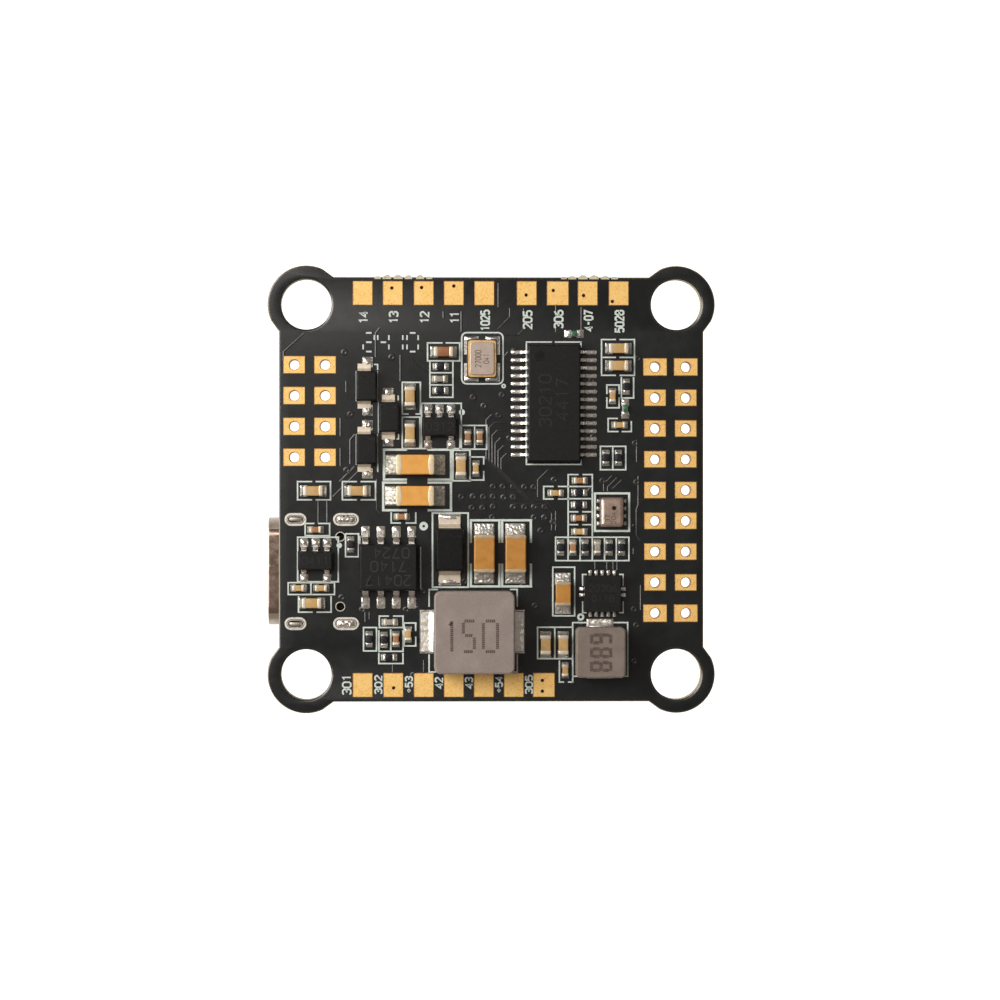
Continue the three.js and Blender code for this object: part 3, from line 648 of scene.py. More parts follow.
def lathe(profile, n=24, cx=0.0, cy=0.0):
    """A closed turned solid. The profile is (radius, z) from the lower axis point to the upper one."""
    v, f, rings = [], [], []
    for r, z in profile:
        if r < 1e-9:
            rings.append([len(v)])
            v.append((cx, cy, z))
        else:
            rings.append(list(range(len(v), len(v) + n)))
            v += [(cx + r * math.cos(2 * math.pi * i / n), cy + r * math.sin(2 * math.pi * i / n), z) for i in range(n)]
    for a, b in zip(rings, rings[1:]):
        for i in range(n):
            j = (i + 1) % n
            if len(a) == 1 and len(b) == 1:
                continue
            if len(a) == 1:
                f.append((a[0], b[j], b[i]))
            elif len(b) == 1:
                f.append((a[i], a[j], b[0]))
            else:
                f.append((a[i], a[j], b[j], b[i]))
    return v, f


def tube_ring(profile, n=20, cx=0.0, cy=0.0):
    """A closed ring: the profile is a loop of (radius, z)."""
    v, f = [], []
    for r, z in profile:
        v += [(cx + r * math.cos(2 * math.pi * i / n), cy + r * math.sin(2 * math.pi * i / n), z) for i in range(n)]
    m = len(profile)
    for k in range(m):
        for i in range(n):
            j = (i + 1) % n
            a, b = k * n, ((k + 1) % m) * n
            f.append((a + i, a + j, b + j, b + i))
    return v, f


DIGITS = {
    "0": [[(0, 1.2), (0, 4.8), (1, 6), (3, 6), (4, 4.8), (4, 1.2), (3, 0), (1, 0), (0, 1.2)]],
    "1": [[(0.8, 4.8), (2.2, 6), (2.2, 0)]],
    "2": [[(0.1, 4.9), (1, 6), (3, 6), (4, 5), (4, 4), (0, 0), (4, 0)]],
    "3": [[(0.1, 5.2), (1, 6), (3, 6), (4, 5), (4, 4), (3, 3.1), (1.6, 3.1)], [(3, 3.1), (4, 2.2), (4, 1), (3, 0), (1, 0), (0.1, 0.9)]],
    "4": [[(3, 0), (3, 6), (0, 1.8), (4, 1.8)]],
    "5": [[(3.8, 6), (0.4, 6), (0.2, 3.3), (1.2, 3.7), (3, 3.6), (4, 2.6), (4, 1), (3, 0), (1, 0), (0.1, 0.8)]],
    "6": [[(3.5, 6), (1.4, 5.0), (0, 3), (0, 1), (1, 0), (3, 0), (4, 1), (4, 2.3), (3, 3.2), (1, 3.2), (0, 2.3)]],
    "7": [[(0, 6), (4, 6), (1.4, 0)]],
    "8": [[(1, 3.2), (0.1, 4), (0.1, 5), (1, 6), (3, 6), (3.9, 5), (3.9, 4), (3, 3.2), (1, 3.2), (0, 2.3), (0, 1), (1, 0), (3, 0), (4, 1), (4, 2.3), (3, 3.2)]],
    "9": [[(0.5, 0), (2.6, 1.0), (4, 3), (4, 5), (3, 6), (1, 6), (0, 5), (0, 3.8), (1, 2.9), (3, 2.9), (4, 3.8)]],
    "i": [[(1.2, 5.1), (2, 5.7)], [(2, 6), (2, 0)]],
    "s": [[(3.8, 6), (0.5, 6)], [(0.2, 5.7), (0.2, 3.5)], [(0.7, 3.15), (3.2, 3.15)], [(3.8, 2.8), (3.8, 0.5)], [(3.3, 0), (0.3, 0)]],
    "o": [[(0.7, 6), (3.3, 6)], [(0.1, 5.6), (0.1, 0.5)], [(3.9, 5.6), (3.9, 0.5)], [(0.7, 0), (3.3, 0)]],
    "p": [[(-0.4, 6), (4.4, 6)], [(0, 5.42), (0, 0.58)], [(0.95, 3), (4.3, 3)], [(4, 2.42), (4, 0.58)], [(-0.4, 0), (4.4, 0)]],
    "q": [[(-0.4, 6), (4.4, 6)], [(0, 5.42), (0, 3.58)], [(4, 5.42), (4, 3.58)], [(-0.2, 3), (4.2, 3)], [(0, 2.42), (0, 0.58)], [(4, 2.42), (4, 0.58)], [(-0.4, 0), (4.4, 0)]],
    "-": [[(0.6, 3), (3.4, 3)]],
    "+": [[(0.4, 3), (3.6, 3)], [(2, 1.4), (2, 4.6)]],
    "#": [[(0, 0), (0, 6)], [(1.3, 0), (1.3, 6)], [(2.6, 0), (2.6, 6)], [(4, 0), (4, 6)]],
}


def numerals(text, x, y, height, turn=0.0, squeeze=1.0, gap=1.7):
    """Stroke paths of a row of numerals centred on a point."""
    s = height / 6.0
    total = len(text) * 4 * squeeze + (len(text) - 1) * gap
    out, at = [], -total / 2
    c, d = math.cos(math.radians(turn)), math.sin(math.radians(turn))
    for ch in text:
        for path in DIGITS.get(ch, []):
            pts = []
            for px, py in path:
                lx, ly = (at + px * squeeze) * s, (py - 3) * s
                pts.append((x + lx * c - ly * d, y + lx * d + ly * c))
            out.append(pts)
        at += 4 * squeeze + gap
    return out


def dashes(path, on, off):
    """Splits a path into short strokes."""
    out = []
    for a, b in zip(path, path[1:]):
        va, vb = Vector(a), Vector(b)
        length = (vb - va).length
        if length < 1e-6:
            continue
        count = max(1, round(length / (on + off)))
        step = length / count
        d = (vb - va) / length
        for i in range(count):
            s = va + d * (i * step + off / 2 * step / (on + off))
            e = s + d * (on * step / (on + off))
            out.append([tuple(s), tuple(e)])
    return out


# ------------------------------------------------------------------ pieces
class Piece:
    """One object of the visual model, made of closed shapes that may differ in material."""

    def __init__(self, name):
        self.name, self.v, self.f, self.m, self.mats = name, [], [], [], []

    def put(self, shape, mat, place=None):
        v, f = shape
        base = len(self.v)
        if mat not in self.mats:
            self.mats.append(mat)
        k = self.mats.index(mat)
        self.v += [tuple(place @ Vector(p)) for p in v] if place is not None else list(v)
        self.f += [tuple(i + base for i in q) for q in f]
        self.m += [k] * len(f)
        return self

    def put_plate(self, parts, mat, side, place=None):
        """A plate whose rims are in another material than its faces; the shape stays one closed shell."""
        v, up_faces, down_faces, walls = parts
        base = len(self.v)
        for name in (mat, side):
            if name not in self.mats:
                self.mats.append(name)
        self.v += [tuple(place @ Vector(p)) for p in v] if place is not None else list(v)
        for faces, name in ((up_faces + down_faces, mat), (walls, side)):
            self.f += [tuple(i + base for i in q) for q in faces]
            self.m += [self.mats.index(name)] * len(faces)
        return self

    def make(self, body="board", replaces=(), angle=38, recalc=True, flat=0):
        me = bpy.data.meshes.new(self.name)
        me.from_pydata([(x * MM, y * MM, z * MM) for x, y, z in self.v], [], self.f)
        for m in self.mats:
            me.materials.append(M[m])
        me.polygons.foreach_set("material_index", self.m)
        bm = bmesh.new()
        bm.from_mesh(me)
        if recalc:
            bmesh.ops.recalc_face_normals(bm, faces=bm.faces[:])
        bm.to_mesh(me)
        bm.free()
        me.polygons.foreach_set("use_smooth", [i >= flat for i in range(len(me.polygons))])
        me.set_sharp_from_angle(angle=math.radians(angle))
        me.update()
        o = bpy.data.objects.new(self.name, me)
        scene.collection.objects.link(o)
        if not flat:
            even = o.modifiers.new("even_normals", "WEIGHTED_NORMAL")
            even.keep_sharp = True
        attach(o, body)
        if replaces:
            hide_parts(*replaces)
        return o


def up(x, y, turn=0.0, z=0.0):
    return Matrix.Translation((x, y, z)) @ Matrix.Rotation(math.radians(turn), 4, "Z")


FLIP = Matrix.Translation((0, 0, -THICK)) @ Matrix.Rotation(math.pi, 4, "X")


def under(x, y, turn=0.0, z=0.0):
    return FLIP @ Matrix.Translation((x, -y, z)) @ Matrix.Rotation(math.radians(turn), 4, "Z")


def spot(node):
    lo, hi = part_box(node)
    return (lo.x + hi.x) / 2 / MM, (lo.y + hi.y) / 2 / MM


# ------------------------------------------------------------------ legend lines and copper runs of the upper face, in millimetres
SILK = [
    (0.13, 0, [(-5.33, 12.07), (-4.02, 12.07)]),
    (0.13, 0, [(-3.78, 12.07), (-2.54, 12.07)]),
    (0.13, 0, [(-5.33, 10.59), (-2.54, 10.59)]),
    (0.13, 0, [(-5.26, 12.0), (-5.26, 10.65)]),
    (0.13, 0, [(-2.61, 12.0), (-2.61, 10.65)]),
    (0.13, 0, [(-5.13, 7.59), (-3.11, 7.59)]),
    (0.13, 0, [(-5.06, 10.52), (-5.06, 7.66)]),
    (0.13, 0, [(-3.17, 10.52), (-3.17, 7.66)]),
    (0.13, 0, [(-5.0, 9.61), (-3.24, 9.61)]),
    (0.13, 0, [(-5.0, 8.61), (-3.24, 8.61)]),
    (0.14, 1, [(0.55, 12.92), (0.71, 12.89), (0.84, 12.8), (0.93, 12.66), (0.96, 12.51), (0.96, 9.11), (0.93, 8.95), (0.84, 8.82), (0.71, 8.73), (0.55, 8.7), (-2.03, 8.7), (-2.19, 8.73), (-2.32, 8.82), (-2.41, 8.95), (-2.44, 9.11), (-2.44, 12.51), (-2.41, 12.66), (-2.32, 12.8), (-2.19, 12.89), (-2.03, 12.92)]),
    (0.13, 0, [(-7.4, 8.82), (-5.79, 8.82)]),
    (0.13, 0, [(-7.4, 6.21), (-6.83, 6.21)]),
    (0.13, 0, [(-6.26, 6.21), (-5.79, 6.21)]),
    (0.13, 0, [(-7.34, 8.76), (-7.34, 6.27)]),
    (0.13, 0, [(-5.85, 8.76), (-5.85, 6.27)]),
    (0.13, 1, [(-7.34, 5.95), (-5.89, 5.95), (-5.89, 3.36), (-7.34, 3.36)]),
    (0.13, 0, [(-5.82, 7.09), (-2.42, 7.09)]),
    (0.13, 0, [(-5.82, 3.36), (-4.98, 3.36)]),
    (0.13, 0, [(-3.58, 3.36), (-2.42, 3.36)]),
    (0.13, 0, [(-5.75, 7.02), (-5.75, 3.42)]),
    (0.13, 0, [(-2.48, 7.02), (-2.48, 3.42)]),
    (0.2, 0, [(-8.95, 3.27), (-6.96, 3.27)]),
    (0.2, 0, [(-5.26, 3.27), (-3.23, 3.27)]),
    (0.2, 0, [(-8.95, 0.81), (-6.96, 0.81)]),
    (0.2, 0, [(-5.26, 0.81), (-3.23, 0.81)]),
    (0.2, 0, [(-8.85, 3.17), (-8.85, 0.91)]),
    (0.2, 0, [(-3.33, 3.17), (-3.33, 0.91)]),
    (0.2, 0, [(-9.01, 0.56), (-6.96, 0.56)]),
    (0.2, 0, [(-5.26, 0.56), (-3.23, 0.56)]),
    (0.2, 0, [(-9.01, -1.72), (-6.96, -1.72)]),
    (0.2, 0, [(-5.26, -1.72), (-3.23, -1.72)]),
    (0.2, 0, [(-8.91, 0.46), (-8.91, -1.62)]),
    (0.2, 0, [(-3.33, 0.46), (-3.33, -1.62)]),
    (0.13, 0, [(-8.32, -2.77), (-7.45, -2.77)]),
    (0.13, 0, [(-7.07, -2.77), (-6.17, -2.77)]),
    (0.13, 0, [(-8.25, -1.88), (-8.25, -2.7)]),
    (0.13, 0, [(-6.23, -1.88), (-6.23, -2.7)]),
    (0.15, 1, [(-3.17, 3.23), (-1.76, 3.23), (-1.76, 0.71), (-3.17, 0.71)]),
    (0.13, 0, [(-1.83, 2.67), (-0.56, 2.67)]),
    (0.13, 0, [(-1.83, 0.77), (-0.56, 0.77)]),
    (0.13, 0, [(-0.63, 2.61), (-0.63, 2.05)]),
    (0.13, 0, [(-0.63, 1.52), (-0.63, 0.84)]),
    (0.13, 1, [(-2.59, 5.27), (-0.38, 5.27), (-0.38, 3.31), (-2.59, 3.31)]),
    (0.13, 0, [(-1.38, 5.2), (-1.38, 3.38)]),
    (0.13, 0, [(2.83, 12.15), (5.0, 12.15)]),
    (0.13, 0, [(5.24, 12.15), (7.45, 12.15)]),
    (0.13, 0, [(2.83, 2.06), (7.45, 2.06)]),
    (0.13, 0, [(2.89, 12.09), (2.89, 2.13)]),
    (0.13, 0, [(7.39, 12.15), (7.39, 11.7)]),
    (0.13, 0, [(7.39, 2.46), (7.39, 2.06)]),
    (0.13, 0, [(9.03, 12.36), (10.27, 12.36)]),
    (0.13, 0, [(10.57, 12.36), (11.87, 12.36)]),
    (0.13, 0, [(9.03, 9.41), (10.27, 9.41)]),
    (0.13, 0, [(10.57, 9.41), (11.87, 9.41)]),
    (0.13, 0, [(9.09, 12.29), (9.09, 9.48)]),
    (0.13, 0, [(11.81, 12.29), (11.81, 9.48)]),
    (0.13, 0, [(9.16, 10.89), (10.27, 10.89)]),
    (0.13, 0, [(10.57, 10.89), (11.74, 10.89)]),
    (0.13, 0, [(10.67, 7.54), (11.81, 7.54)]),
    (0.13, 0, [(10.73, 9.28), (10.73, 7.6)]),
    (0.13, 0, [(11.74, 9.28), (11.74, 7.6)]),
    (0.13, 0, [(9.46, 8.61), (10.61, 8.61)]),
    (0.13, 0, [(9.46, 6.73), (10.61, 6.73)]),
    (0.13, 0, [(9.53, 8.54), (9.53, 7.86)]),
    (0.13, 0, [(9.53, 7.6), (9.53, 6.79)]),
    (0.13, 0, [(10.54, 8.54), (10.54, 7.86)]),
    (0.13, 0, [(10.54, 7.6), (10.54, 6.79)]),
    (0.13, 0, [(10.44, 5.85), (9.64, 5.85), (9.64, 4.77), (10.49, 4.77)]),
    (0.13, 0, [(10.75, 4.77), (11.55, 4.77), (11.55, 5.64)]),
    (0.13, 1, [(9.0, 3.55), (11.09, 3.55), (11.09, 1.62), (9.0, 1.62)]),
    (0.13, 0, [(10.02, 3.49), (10.02, 1.68)]),
    (0.13, 0, [(6.27, 1.22), (7.19, 1.22)]),
    (0.13, 0, [(7.52, 1.22), (8.39, 1.22)]),
    (0.13, 0, [(6.34, 1.15), (6.34, -3.88)]),
    (0.13, 0, [(8.33, 1.15), (8.33, -3.88)]),
    (0.13, 0, [(6.41, 0.24), (8.26, 0.24)]),
    (0.13, 0, [(6.41, -0.77), (8.26, -0.77)]),
    (0.13, 0, [(6.41, -1.85), (7.17, -1.85)]),
    (0.13, 0, [(7.49, -1.85), (8.26, -1.85)]),
    (0.13, 0, [(6.41, -2.91), (7.17, -2.91)]),
    (0.13, 0, [(7.49, -2.91), (8.26, -2.91)]),
    (0.13, 0, [(4.25, 0.24), (5.14, 0.24)]),
    (0.13, 0, [(5.49, 0.24), (6.41, 0.24)]),
    (0.13, 0, [(4.25, -0.79), (5.14, -0.79)]),
    (0.13, 0, [(5.49, -0.79), (6.41, -0.79)]),
    (0.13, 0, [(4.32, 0.17), (4.32, -0.73)]),
    (0.13, 1, [(5.3, -3.95), (11.35, -3.95), (11.35, -5.88), (5.3, -5.88)]),
    (0.13, 0, [(6.33, -4.01), (6.33, -5.81)]),
    (0.13, 0, [(7.32, -4.01), (7.32, -5.81)]),
    (0.13, 0, [(8.33, -4.01), (8.33, -5.81)]),
    (0.13, 0, [(9.34, -4.01), (9.34, -5.81)]),
    (0.13, 0, [(10.31, -4.01), (10.31, -5.81)]),
    (0.19, 1, [(8.54, -0.33), (11.37, -0.33), (11.37, -3.43), (8.54, -3.43)]),
    (0.13, 1, [(5.07, -6.42), (6.87, -6.42), (6.87, -10.43), (5.07, -10.43)]),
    (0.12, 0, [(7.87, -7.02), (7.53, -7.02), (7.53, -7.96)]),
    (0.12, 0, [(7.87, -10.17), (7.53, -10.17), (7.53, -9.23)]),
    (0.12, 0, [(10.53, -7.02), (10.87, -7.02), (10.87, -7.96)]),
    (0.12, 0, [(10.53, -10.17), (10.87, -10.17), (10.87, -9.23)]),
    (0.13, 0, [(7.96, -10.99), (6.71, -10.99), (6.71, -15.41), (7.14, -15.41)]),
    (0.13, 0, [(9.94, -10.99), (11.25, -10.99), (11.25, -15.41), (10.77, -15.41)]),
    (0.13, 0, [(3.74, -11.37), (6.71, -11.37)]),
    (0.13, 0, [(3.74, -13.96), (6.71, -13.96)]),
    (0.13, 0, [(3.81, -11.43), (3.81, -13.89)]),
    (0.13, 0, [(5.23, -11.43), (5.23, -13.89)]),
    (0.13, 0, [(5.54, -15.89), (5.99, -15.89)]),
    (0.13, 0, [(6.31, -15.89), (6.78, -15.89)]),
    (0.13, 0, [(5.61, -14.09), (5.61, -15.83)]),
    (0.13, 0, [(6.71, -15.41), (6.71, -15.96)]),
    (0.15, 1, [(-4.85, -1.95), (-1.91, -1.95), (-1.91, -8.06), (-4.85, -8.06)]),
    (0.2, 0, [(-1.79, -2.55), (0.76, -2.55)]),
    (0.2, 0, [(-1.79, -8.0), (0.76, -8.0)]),
    (0.2, 0, [(-1.69, -2.65), (-1.69, -4.4)]),
    (0.2, 0, [(-1.69, -6.11), (-1.69, -7.91)]),
    (0.2, 0, [(0.66, -2.65), (0.66, -4.4)]),
    (0.2, 0, [(0.66, -6.11), (0.66, -7.91)]),
    (0.2, 0, [(0.79, -2.55), (3.36, -2.55)]),
    (0.2, 0, [(0.79, -8.0), (3.36, -8.0)]),
    (0.2, 0, [(0.89, -2.65), (0.89, -4.4)]),
    (0.2, 0, [(0.89, -6.11), (0.89, -7.91)]),
    (0.2, 0, [(3.26, -2.65), (3.26, -4.4)]),
    (0.2, 0, [(3.26, -6.11), (3.26, -7.91)]),
    (0.13, 0, [(-5.13, -9.67), (-5.13, -8.25), (-4.4, -8.25)]),
    (0.13, 0, [(1.53, -8.25), (2.13, -8.25), (2.13, -9.67)]),
    (0.13, 0, [(-5.13, -13.59), (-5.13, -15.05), (-4.57, -15.05)]),
    (0.13, 0, [(1.7, -15.05), (2.13, -15.05), (2.13, -13.59)]),
    (0.11, 0, [(-10.83, -3.84), (-10.83, -8.21)]),
    (0.11, 0, [(-5.83, -4.75), (-5.83, -8.21)]),
    (0.13, 1, [(-12.01, -3.66), (-10.94, -3.66), (-10.94, -5.55), (-12.01, -5.55)]),
    (0.13, 0, [(-16.03, 0.64), (-14.76, 0.64)]),
    (0.13, 0, [(-14.48, 0.64), (-13.18, 0.64)]),
    (0.13, 0, [(-16.03, -0.86), (-14.76, -0.86)]),
    (0.13, 0, [(-14.48, -0.86), (-13.18, -0.86)]),
    (0.13, 0, [(-15.96, 0.58), (-15.96, -0.79)]),
    (0.13, 0, [(-13.25, 0.58), (-13.25, -0.79)]),
    (0.13, 0, [(-12.33, 0.64), (-11.08, 0.64)]),
    (0.13, 0, [(-10.78, 0.64), (-9.48, 0.64)]),
    (0.13, 0, [(-12.33, -0.86), (-11.08, -0.86)]),
    (0.13, 0, [(-10.78, -0.86), (-9.48, -0.86)]),
    (0.13, 0, [(-12.27, 0.58), (-12.27, -0.79)]),
    (0.13, 0, [(-9.55, 0.58), (-9.55, -0.79)]),
    (0.13, 0, [(-15.39, -2.81), (-14.58, -2.81)]),
    (0.13, 0, [(-14.28, -2.81), (-13.26, -2.81)]),
    (0.13, 0, [(-15.39, -3.81), (-13.26, -3.81)]),
    (0.13, 0, [(-15.33, -2.88), (-15.33, -3.74)]),
    (0.13, 0, [(-13.32, -2.88), (-13.32, -3.74)]),
    (0.13, 0, [(-16.02, -3.94), (-12.54, -3.94)]),
    (0.13, 0, [(-16.02, -7.61), (-12.54, -7.61)]),
    (0.13, 0, [(-15.95, -4.01), (-15.95, -7.54)]),
    (0.13, 0, [(-12.61, -4.01), (-12.61, -4.5)]),
    (0.13, 0, [(-12.61, -4.83), (-12.61, -7.54)]),
    (0.13, 1, [(-16.73, -7.68), (-12.92, -7.68), (-12.92, -8.66), (-16.73, -8.66)]),
    (0.13, 0, [(-14.86, -7.74), (-14.86, -8.59)]),
    (0.13, 0, [(-15.94, -10.11), (-14.71, -10.11)]),
    (0.13, 0, [(-14.41, -10.11), (-13.13, -10.11)]),
    (0.13, 0, [(-15.88, -8.79), (-15.88, -10.04)]),
    (0.13, 0, [(-13.2, -8.79), (-13.2, -10.04)]),
    (0.13, 0, [(-9.3, -10.44), (-8.44, -10.44)]),
    (0.13, 0, [(-8.11, -10.44), (-7.21, -10.44)]),
    (0.13, 0, [(-9.3, -11.38), (-7.21, -11.38)]),
    (0.13, 0, [(-9.23, -10.5), (-9.23, -11.32)]),
    (0.13, 0, [(-7.28, -10.5), (-7.28, -11.32)]),
    (0.13, 1, [(-10.53, -11.38), (-9.46, -11.38), (-9.46, -13.31), (-10.53, -13.31)]),
    (0.13, 0, [(-9.33, -13.34), (-7.21, -13.34)]),
    (0.13, 0, [(-9.27, -11.6), (-9.27, -13.27)]),
    (0.13, 0, [(-7.28, -11.6), (-7.28, -13.27)]),
    (0.13, 0, [(-8.29, -11.53), (-8.29, -13.27)]),
    (0.13, 0, [(-9.33, -14.35), (-7.21, -14.35)]),
    (0.13, 0, [(-9.27, -13.47), (-9.27, -14.29)]),
    (0.13, 0, [(-7.28, -13.47), (-7.28, -14.29)]),
    (0.13, 0, [(-7.25, -11.01), (-6.17, -11.01)]),
    (0.13, 0, [(-7.25, -12.9), (-6.17, -12.9)]),
    (0.13, 0, [(-7.19, -11.07), (-7.19, -12.84)]),
    (0.13, 0, [(-6.24, -11.07), (-6.24, -11.67)]),
    (0.13, 0, [(-6.24, -12.13), (-6.24, -12.84)]),
    (0.07, 0, [(-11.14, 9.76), (-11.14, 7.25)]),
    (0.07, 0, [(-9.37, 9.76), (-9.37, 7.25)]),
    (0.07, 0, [(-11.14, 4.57), (-11.14, 2.01)]),
    (0.07, 0, [(-9.37, 4.57), (-9.37, 2.01)]),
    (0.07, 0, [(-9.32, 7.21), (-9.32, 4.65)]),
    (0.12, 0, [(-9.68, 10.29), (-9.37, 10.29), (-9.37, 9.84)]),
    (0.12, 0, [(-7.68, 7.74), (-7.68, 7.33)]),
    (0.11, 0, [(-7.65, 4.57), (-7.65, 4.15), (-7.83, 4.15)]),
    (0.11, 0, [(-9.36, 2.14), (-9.36, 1.43)]),
]
SILK_DOTS = [(-2.42, 6.36, 0.25), (-12.53, -4.62, 0.23)]
SILK_RINGS = [(1.01, 8.52, 0.19, 0.07), (-5.58, -3.03, 0.36, 0.11), (7.37, -10.52, 0.3, 0.12)]
TRACES = [
    (0.115, [(1.29, 6.13), (0.01, 6.13), (-0.4, 5.72), (-0.4, 2.51), (2.89, -0.79)]),
    (0.115, [(1.29, 5.49), (0.26, 5.49), (-0.16, 5.08), (-0.16, 2.32), (3.14, -0.97)]),
    (0.115, [(1.29, 4.85), (0.5, 4.85), (0.09, 4.44), (0.09, 2.14), (3.39, -1.15)]),
    (0.115, [(1.29, 4.21), (0.75, 4.21), (0.34, 3.8), (0.34, 1.96), (3.64, -1.34)]),
    (0.115, [(1.29, 3.57), (1.0, 3.57), (0.59, 3.16), (0.59, 1.78), (3.88, -1.52)]),
    (0.115, [(1.29, 2.92), (1.24, 2.92), (0.83, 2.51), (0.83, 1.6), (4.13, -1.7)]),
    (0.115, [(-14.24, -0.96), (-14.24, -2.77)]),
    (0.115, [(-13.51, -0.96), (-13.51, -2.77)]),
    (0.115, [(-7.49, 11.08), (-7.49, 8.94)]),
    (0.115, [(-11.62, 2.09), (-11.62, 4.07), (-11.24, 4.53)]),
    (0.115, [(-15.45, 12.81), (-17.1, 11.33), (-17.1, 10.59)]),
    (0.115, [(-9.52, 10.92), (-9.52, 12.89), (-9.18, 13.31)]),
    (0.115, [(-2.46, 14.67), (-2.46, 12.99)]),
    (0.115, [(-3.94, 14.67), (-3.94, 14.13)]),
    (0.115, [(12.14, 1.1), (12.14, -1.29), (11.99, -1.62), (11.99, -3.76), (12.33, -4.25)]),
    (0.115, [(11.74, -4.83), (11.74, -5.33)]),
    (0.115, [(8.58, -5.9), (8.58, -6.6)]),
    (0.115, [(9.56, -5.9), (9.56, -6.6)]),
    (0.115, [(10.07, -5.94), (10.07, -6.6)]),
    (0.115, [(10.4, -5.9), (10.4, -6.64), (10.19, -6.81)]),
    (0.115, [(-9.43, 0.86), (-9.43, -1.62), (-9.1, -2.03)]),
    (0.181, [(-11.24, 1.85), (-12.48, 0.61)]),
    (0.099, [(-10.59, 1.85), (-13.06, -0.63)]),
    (0.115, [(-10.38, -10.11), (-10.38, -10.93)]),
    (0.115, [(-10.03, -10.11), (-10.03, -10.68)]),
    (0.082, [(5.33, 15.61), (5.33, 12.98)]),
    (0.082, [(7.43, 15.04), (7.43, 12.48)]),
    (0.082, [(0.58, 17.02), (0.58, 15.04)]),
    (0.091, [(-12.43, 3.41), (-12.43, 1.93)]),
    (0.091, [(-12.43, 5.89), (-12.43, 4.4)]),
    (0.091, [(-11.96, 8.94), (-11.96, 8.03)]),
    (0.099, [(8.54, 3.83), (7.55, 4.81), (7.55, 6.38)]),
    (0.099, [(9.12, 3.83), (8.13, 4.81)]),
    (0.082, [(9.94, 1.1), (9.28, 0.45), (9.28, -0.13)]),
    (0.082, [(10.35, 0.94), (9.61, 0.2), (9.61, -0.13)]),
    (0.082, [(10.77, 0.77), (9.98, 0.03)]),
    (0.091, [(5.9, 1.6), (4.67, 1.6), (3.84, 0.77), (3.84, -0.63)]),
    (0.082, [(12.25, -0.87), (14.06, -0.87), (14.39, -1.2)]),
    (0.082, [(-4.57, -8.29), (-4.57, -8.13)]),
    (0.107, [(1.53, -0.87), (4.42, -0.87), (5.33, -1.78), (5.33, -3.35)]),
    (0.107, [(1.7, -1.2), (4.25, -1.2), (5.0, -1.95), (5.0, -3.35)]),
    (0.099, [(-5.56, -14.06), (-5.56, -15.05)]),
    (0.099, [(-8.11, -14.39), (-8.11, -15.05)]),
    (0.099, [(-3.08, -15.05), (-3.08, -15.22)]),
    (0.082, [(12.0, 4.07), (12.0, 2.26)]),
    (0.082, [(12.33, -7.88), (12.33, -9.94)]),
    (0.082, [(-5.89, 11.49), (-5.56, 11.33)]),
    (0.091, [(-6.55, 10.67), (-5.64, 9.76), (-5.14, 9.76)]),
    (0.091, [(1.12, 12.73), (2.19, 12.73), (2.69, 13.22), (2.69, 14.95)]),
    (0.091, [(1.12, 11.0), (1.37, 11.33)]),
    (0.082, [(0.54, 13.22), (1.53, 14.21), (1.53, 14.95)]),
]


# ------------------------------------------------------------------ small builders used by many parts
def soft_block(loop, z0, z1, rt=0.08, rb=0.04, steps=3):
    """A straight-sided block over a convex outline, with its upper and lower rims rounded."""
    rings, v, f = [], [], []
    if rb > 0:
        for i in range(steps + 1):
            t = math.pi / 2 * i / steps
            rings.append((rb * (1 - math.sin(t)), z0 + rb * (1 - math.cos(t))))
    else:
        rings.append((0.0, z0))
    if rt > 0:
        for i in range(steps + 1):
            t = math.pi / 2 * i / steps
            rings.append((rt * (1 - math.cos(t)), z1 - rt * (1 - math.sin(t))))
    else:
        rings.append((0.0, z1))
    n = len(loop)
    for d, z in rings:
        v += [(x, y, z) for x, y in (inset(loop, d) if d > 1e-6 else loop)]
    for k in range(len(rings) - 1):
        for i in range(n):
            j = (i + 1) % n
            f.append((k * n + i, k * n + j, (k + 1) * n + j, (k + 1) * n + i))
    f.append(tuple(range(n - 1, -1, -1)))
    f.append(tuple((len(rings) - 1) * n + i for i in range(n)))
    return v, f


def moved(shape, x=0.0, y=0.0, z=0.0, turn=0.0, mirror=False):
    c, s = math.cos(math.radians(turn)), math.sin(math.radians(turn))
    v, f = shape
    out = []
    for a, b, d in v:
        if mirror:
            b = -b
        out.append((a * c - b * s + x, a * s + b * c + y, d + z))
    if mirror:
        f = [tuple(reversed(q)) for q in f]
    return out, f


PAD = 0.035


def pads_for(p, place, spots, mat="solder", z=PAD):
    """Flat tinned pads: each spot is (x0, x1, y0, y1)."""
    for x0, x1, y0, y1 in spots:
        p.put(slab(rect(x0, x1, y0, y1, 0.05, 2), [], -0.01, z, top=0.012), mat, place)


def cap_loop(s, L, W, cap, bulge):
    """The outline of a fired end cap seen from above: round outer corners, and an inner edge that bows towards the middle."""
    r = 0.10 * W + 0.02
    pts = [(L / 2 - cap, -W / 2)]
    for cx, cy, a in ((L / 2 - r, -W / 2 + r, -90), (L / 2 - r, W / 2 - r, 0)):
        for i in range(4):
            q = math.radians(a + 30 * i)
            pts.append((cx + r * math.cos(q), cy + r * math.sin(q)))
    pts.append((L / 2 - cap, W / 2))
    for i in range(1, 6):
        w = 1 - 2 * i / 6
        pts.append((L / 2 - cap - bulge * (1 - w * w), w * W / 2))
    return pts if s > 0 else [(-x, -y) for x, y in pts]


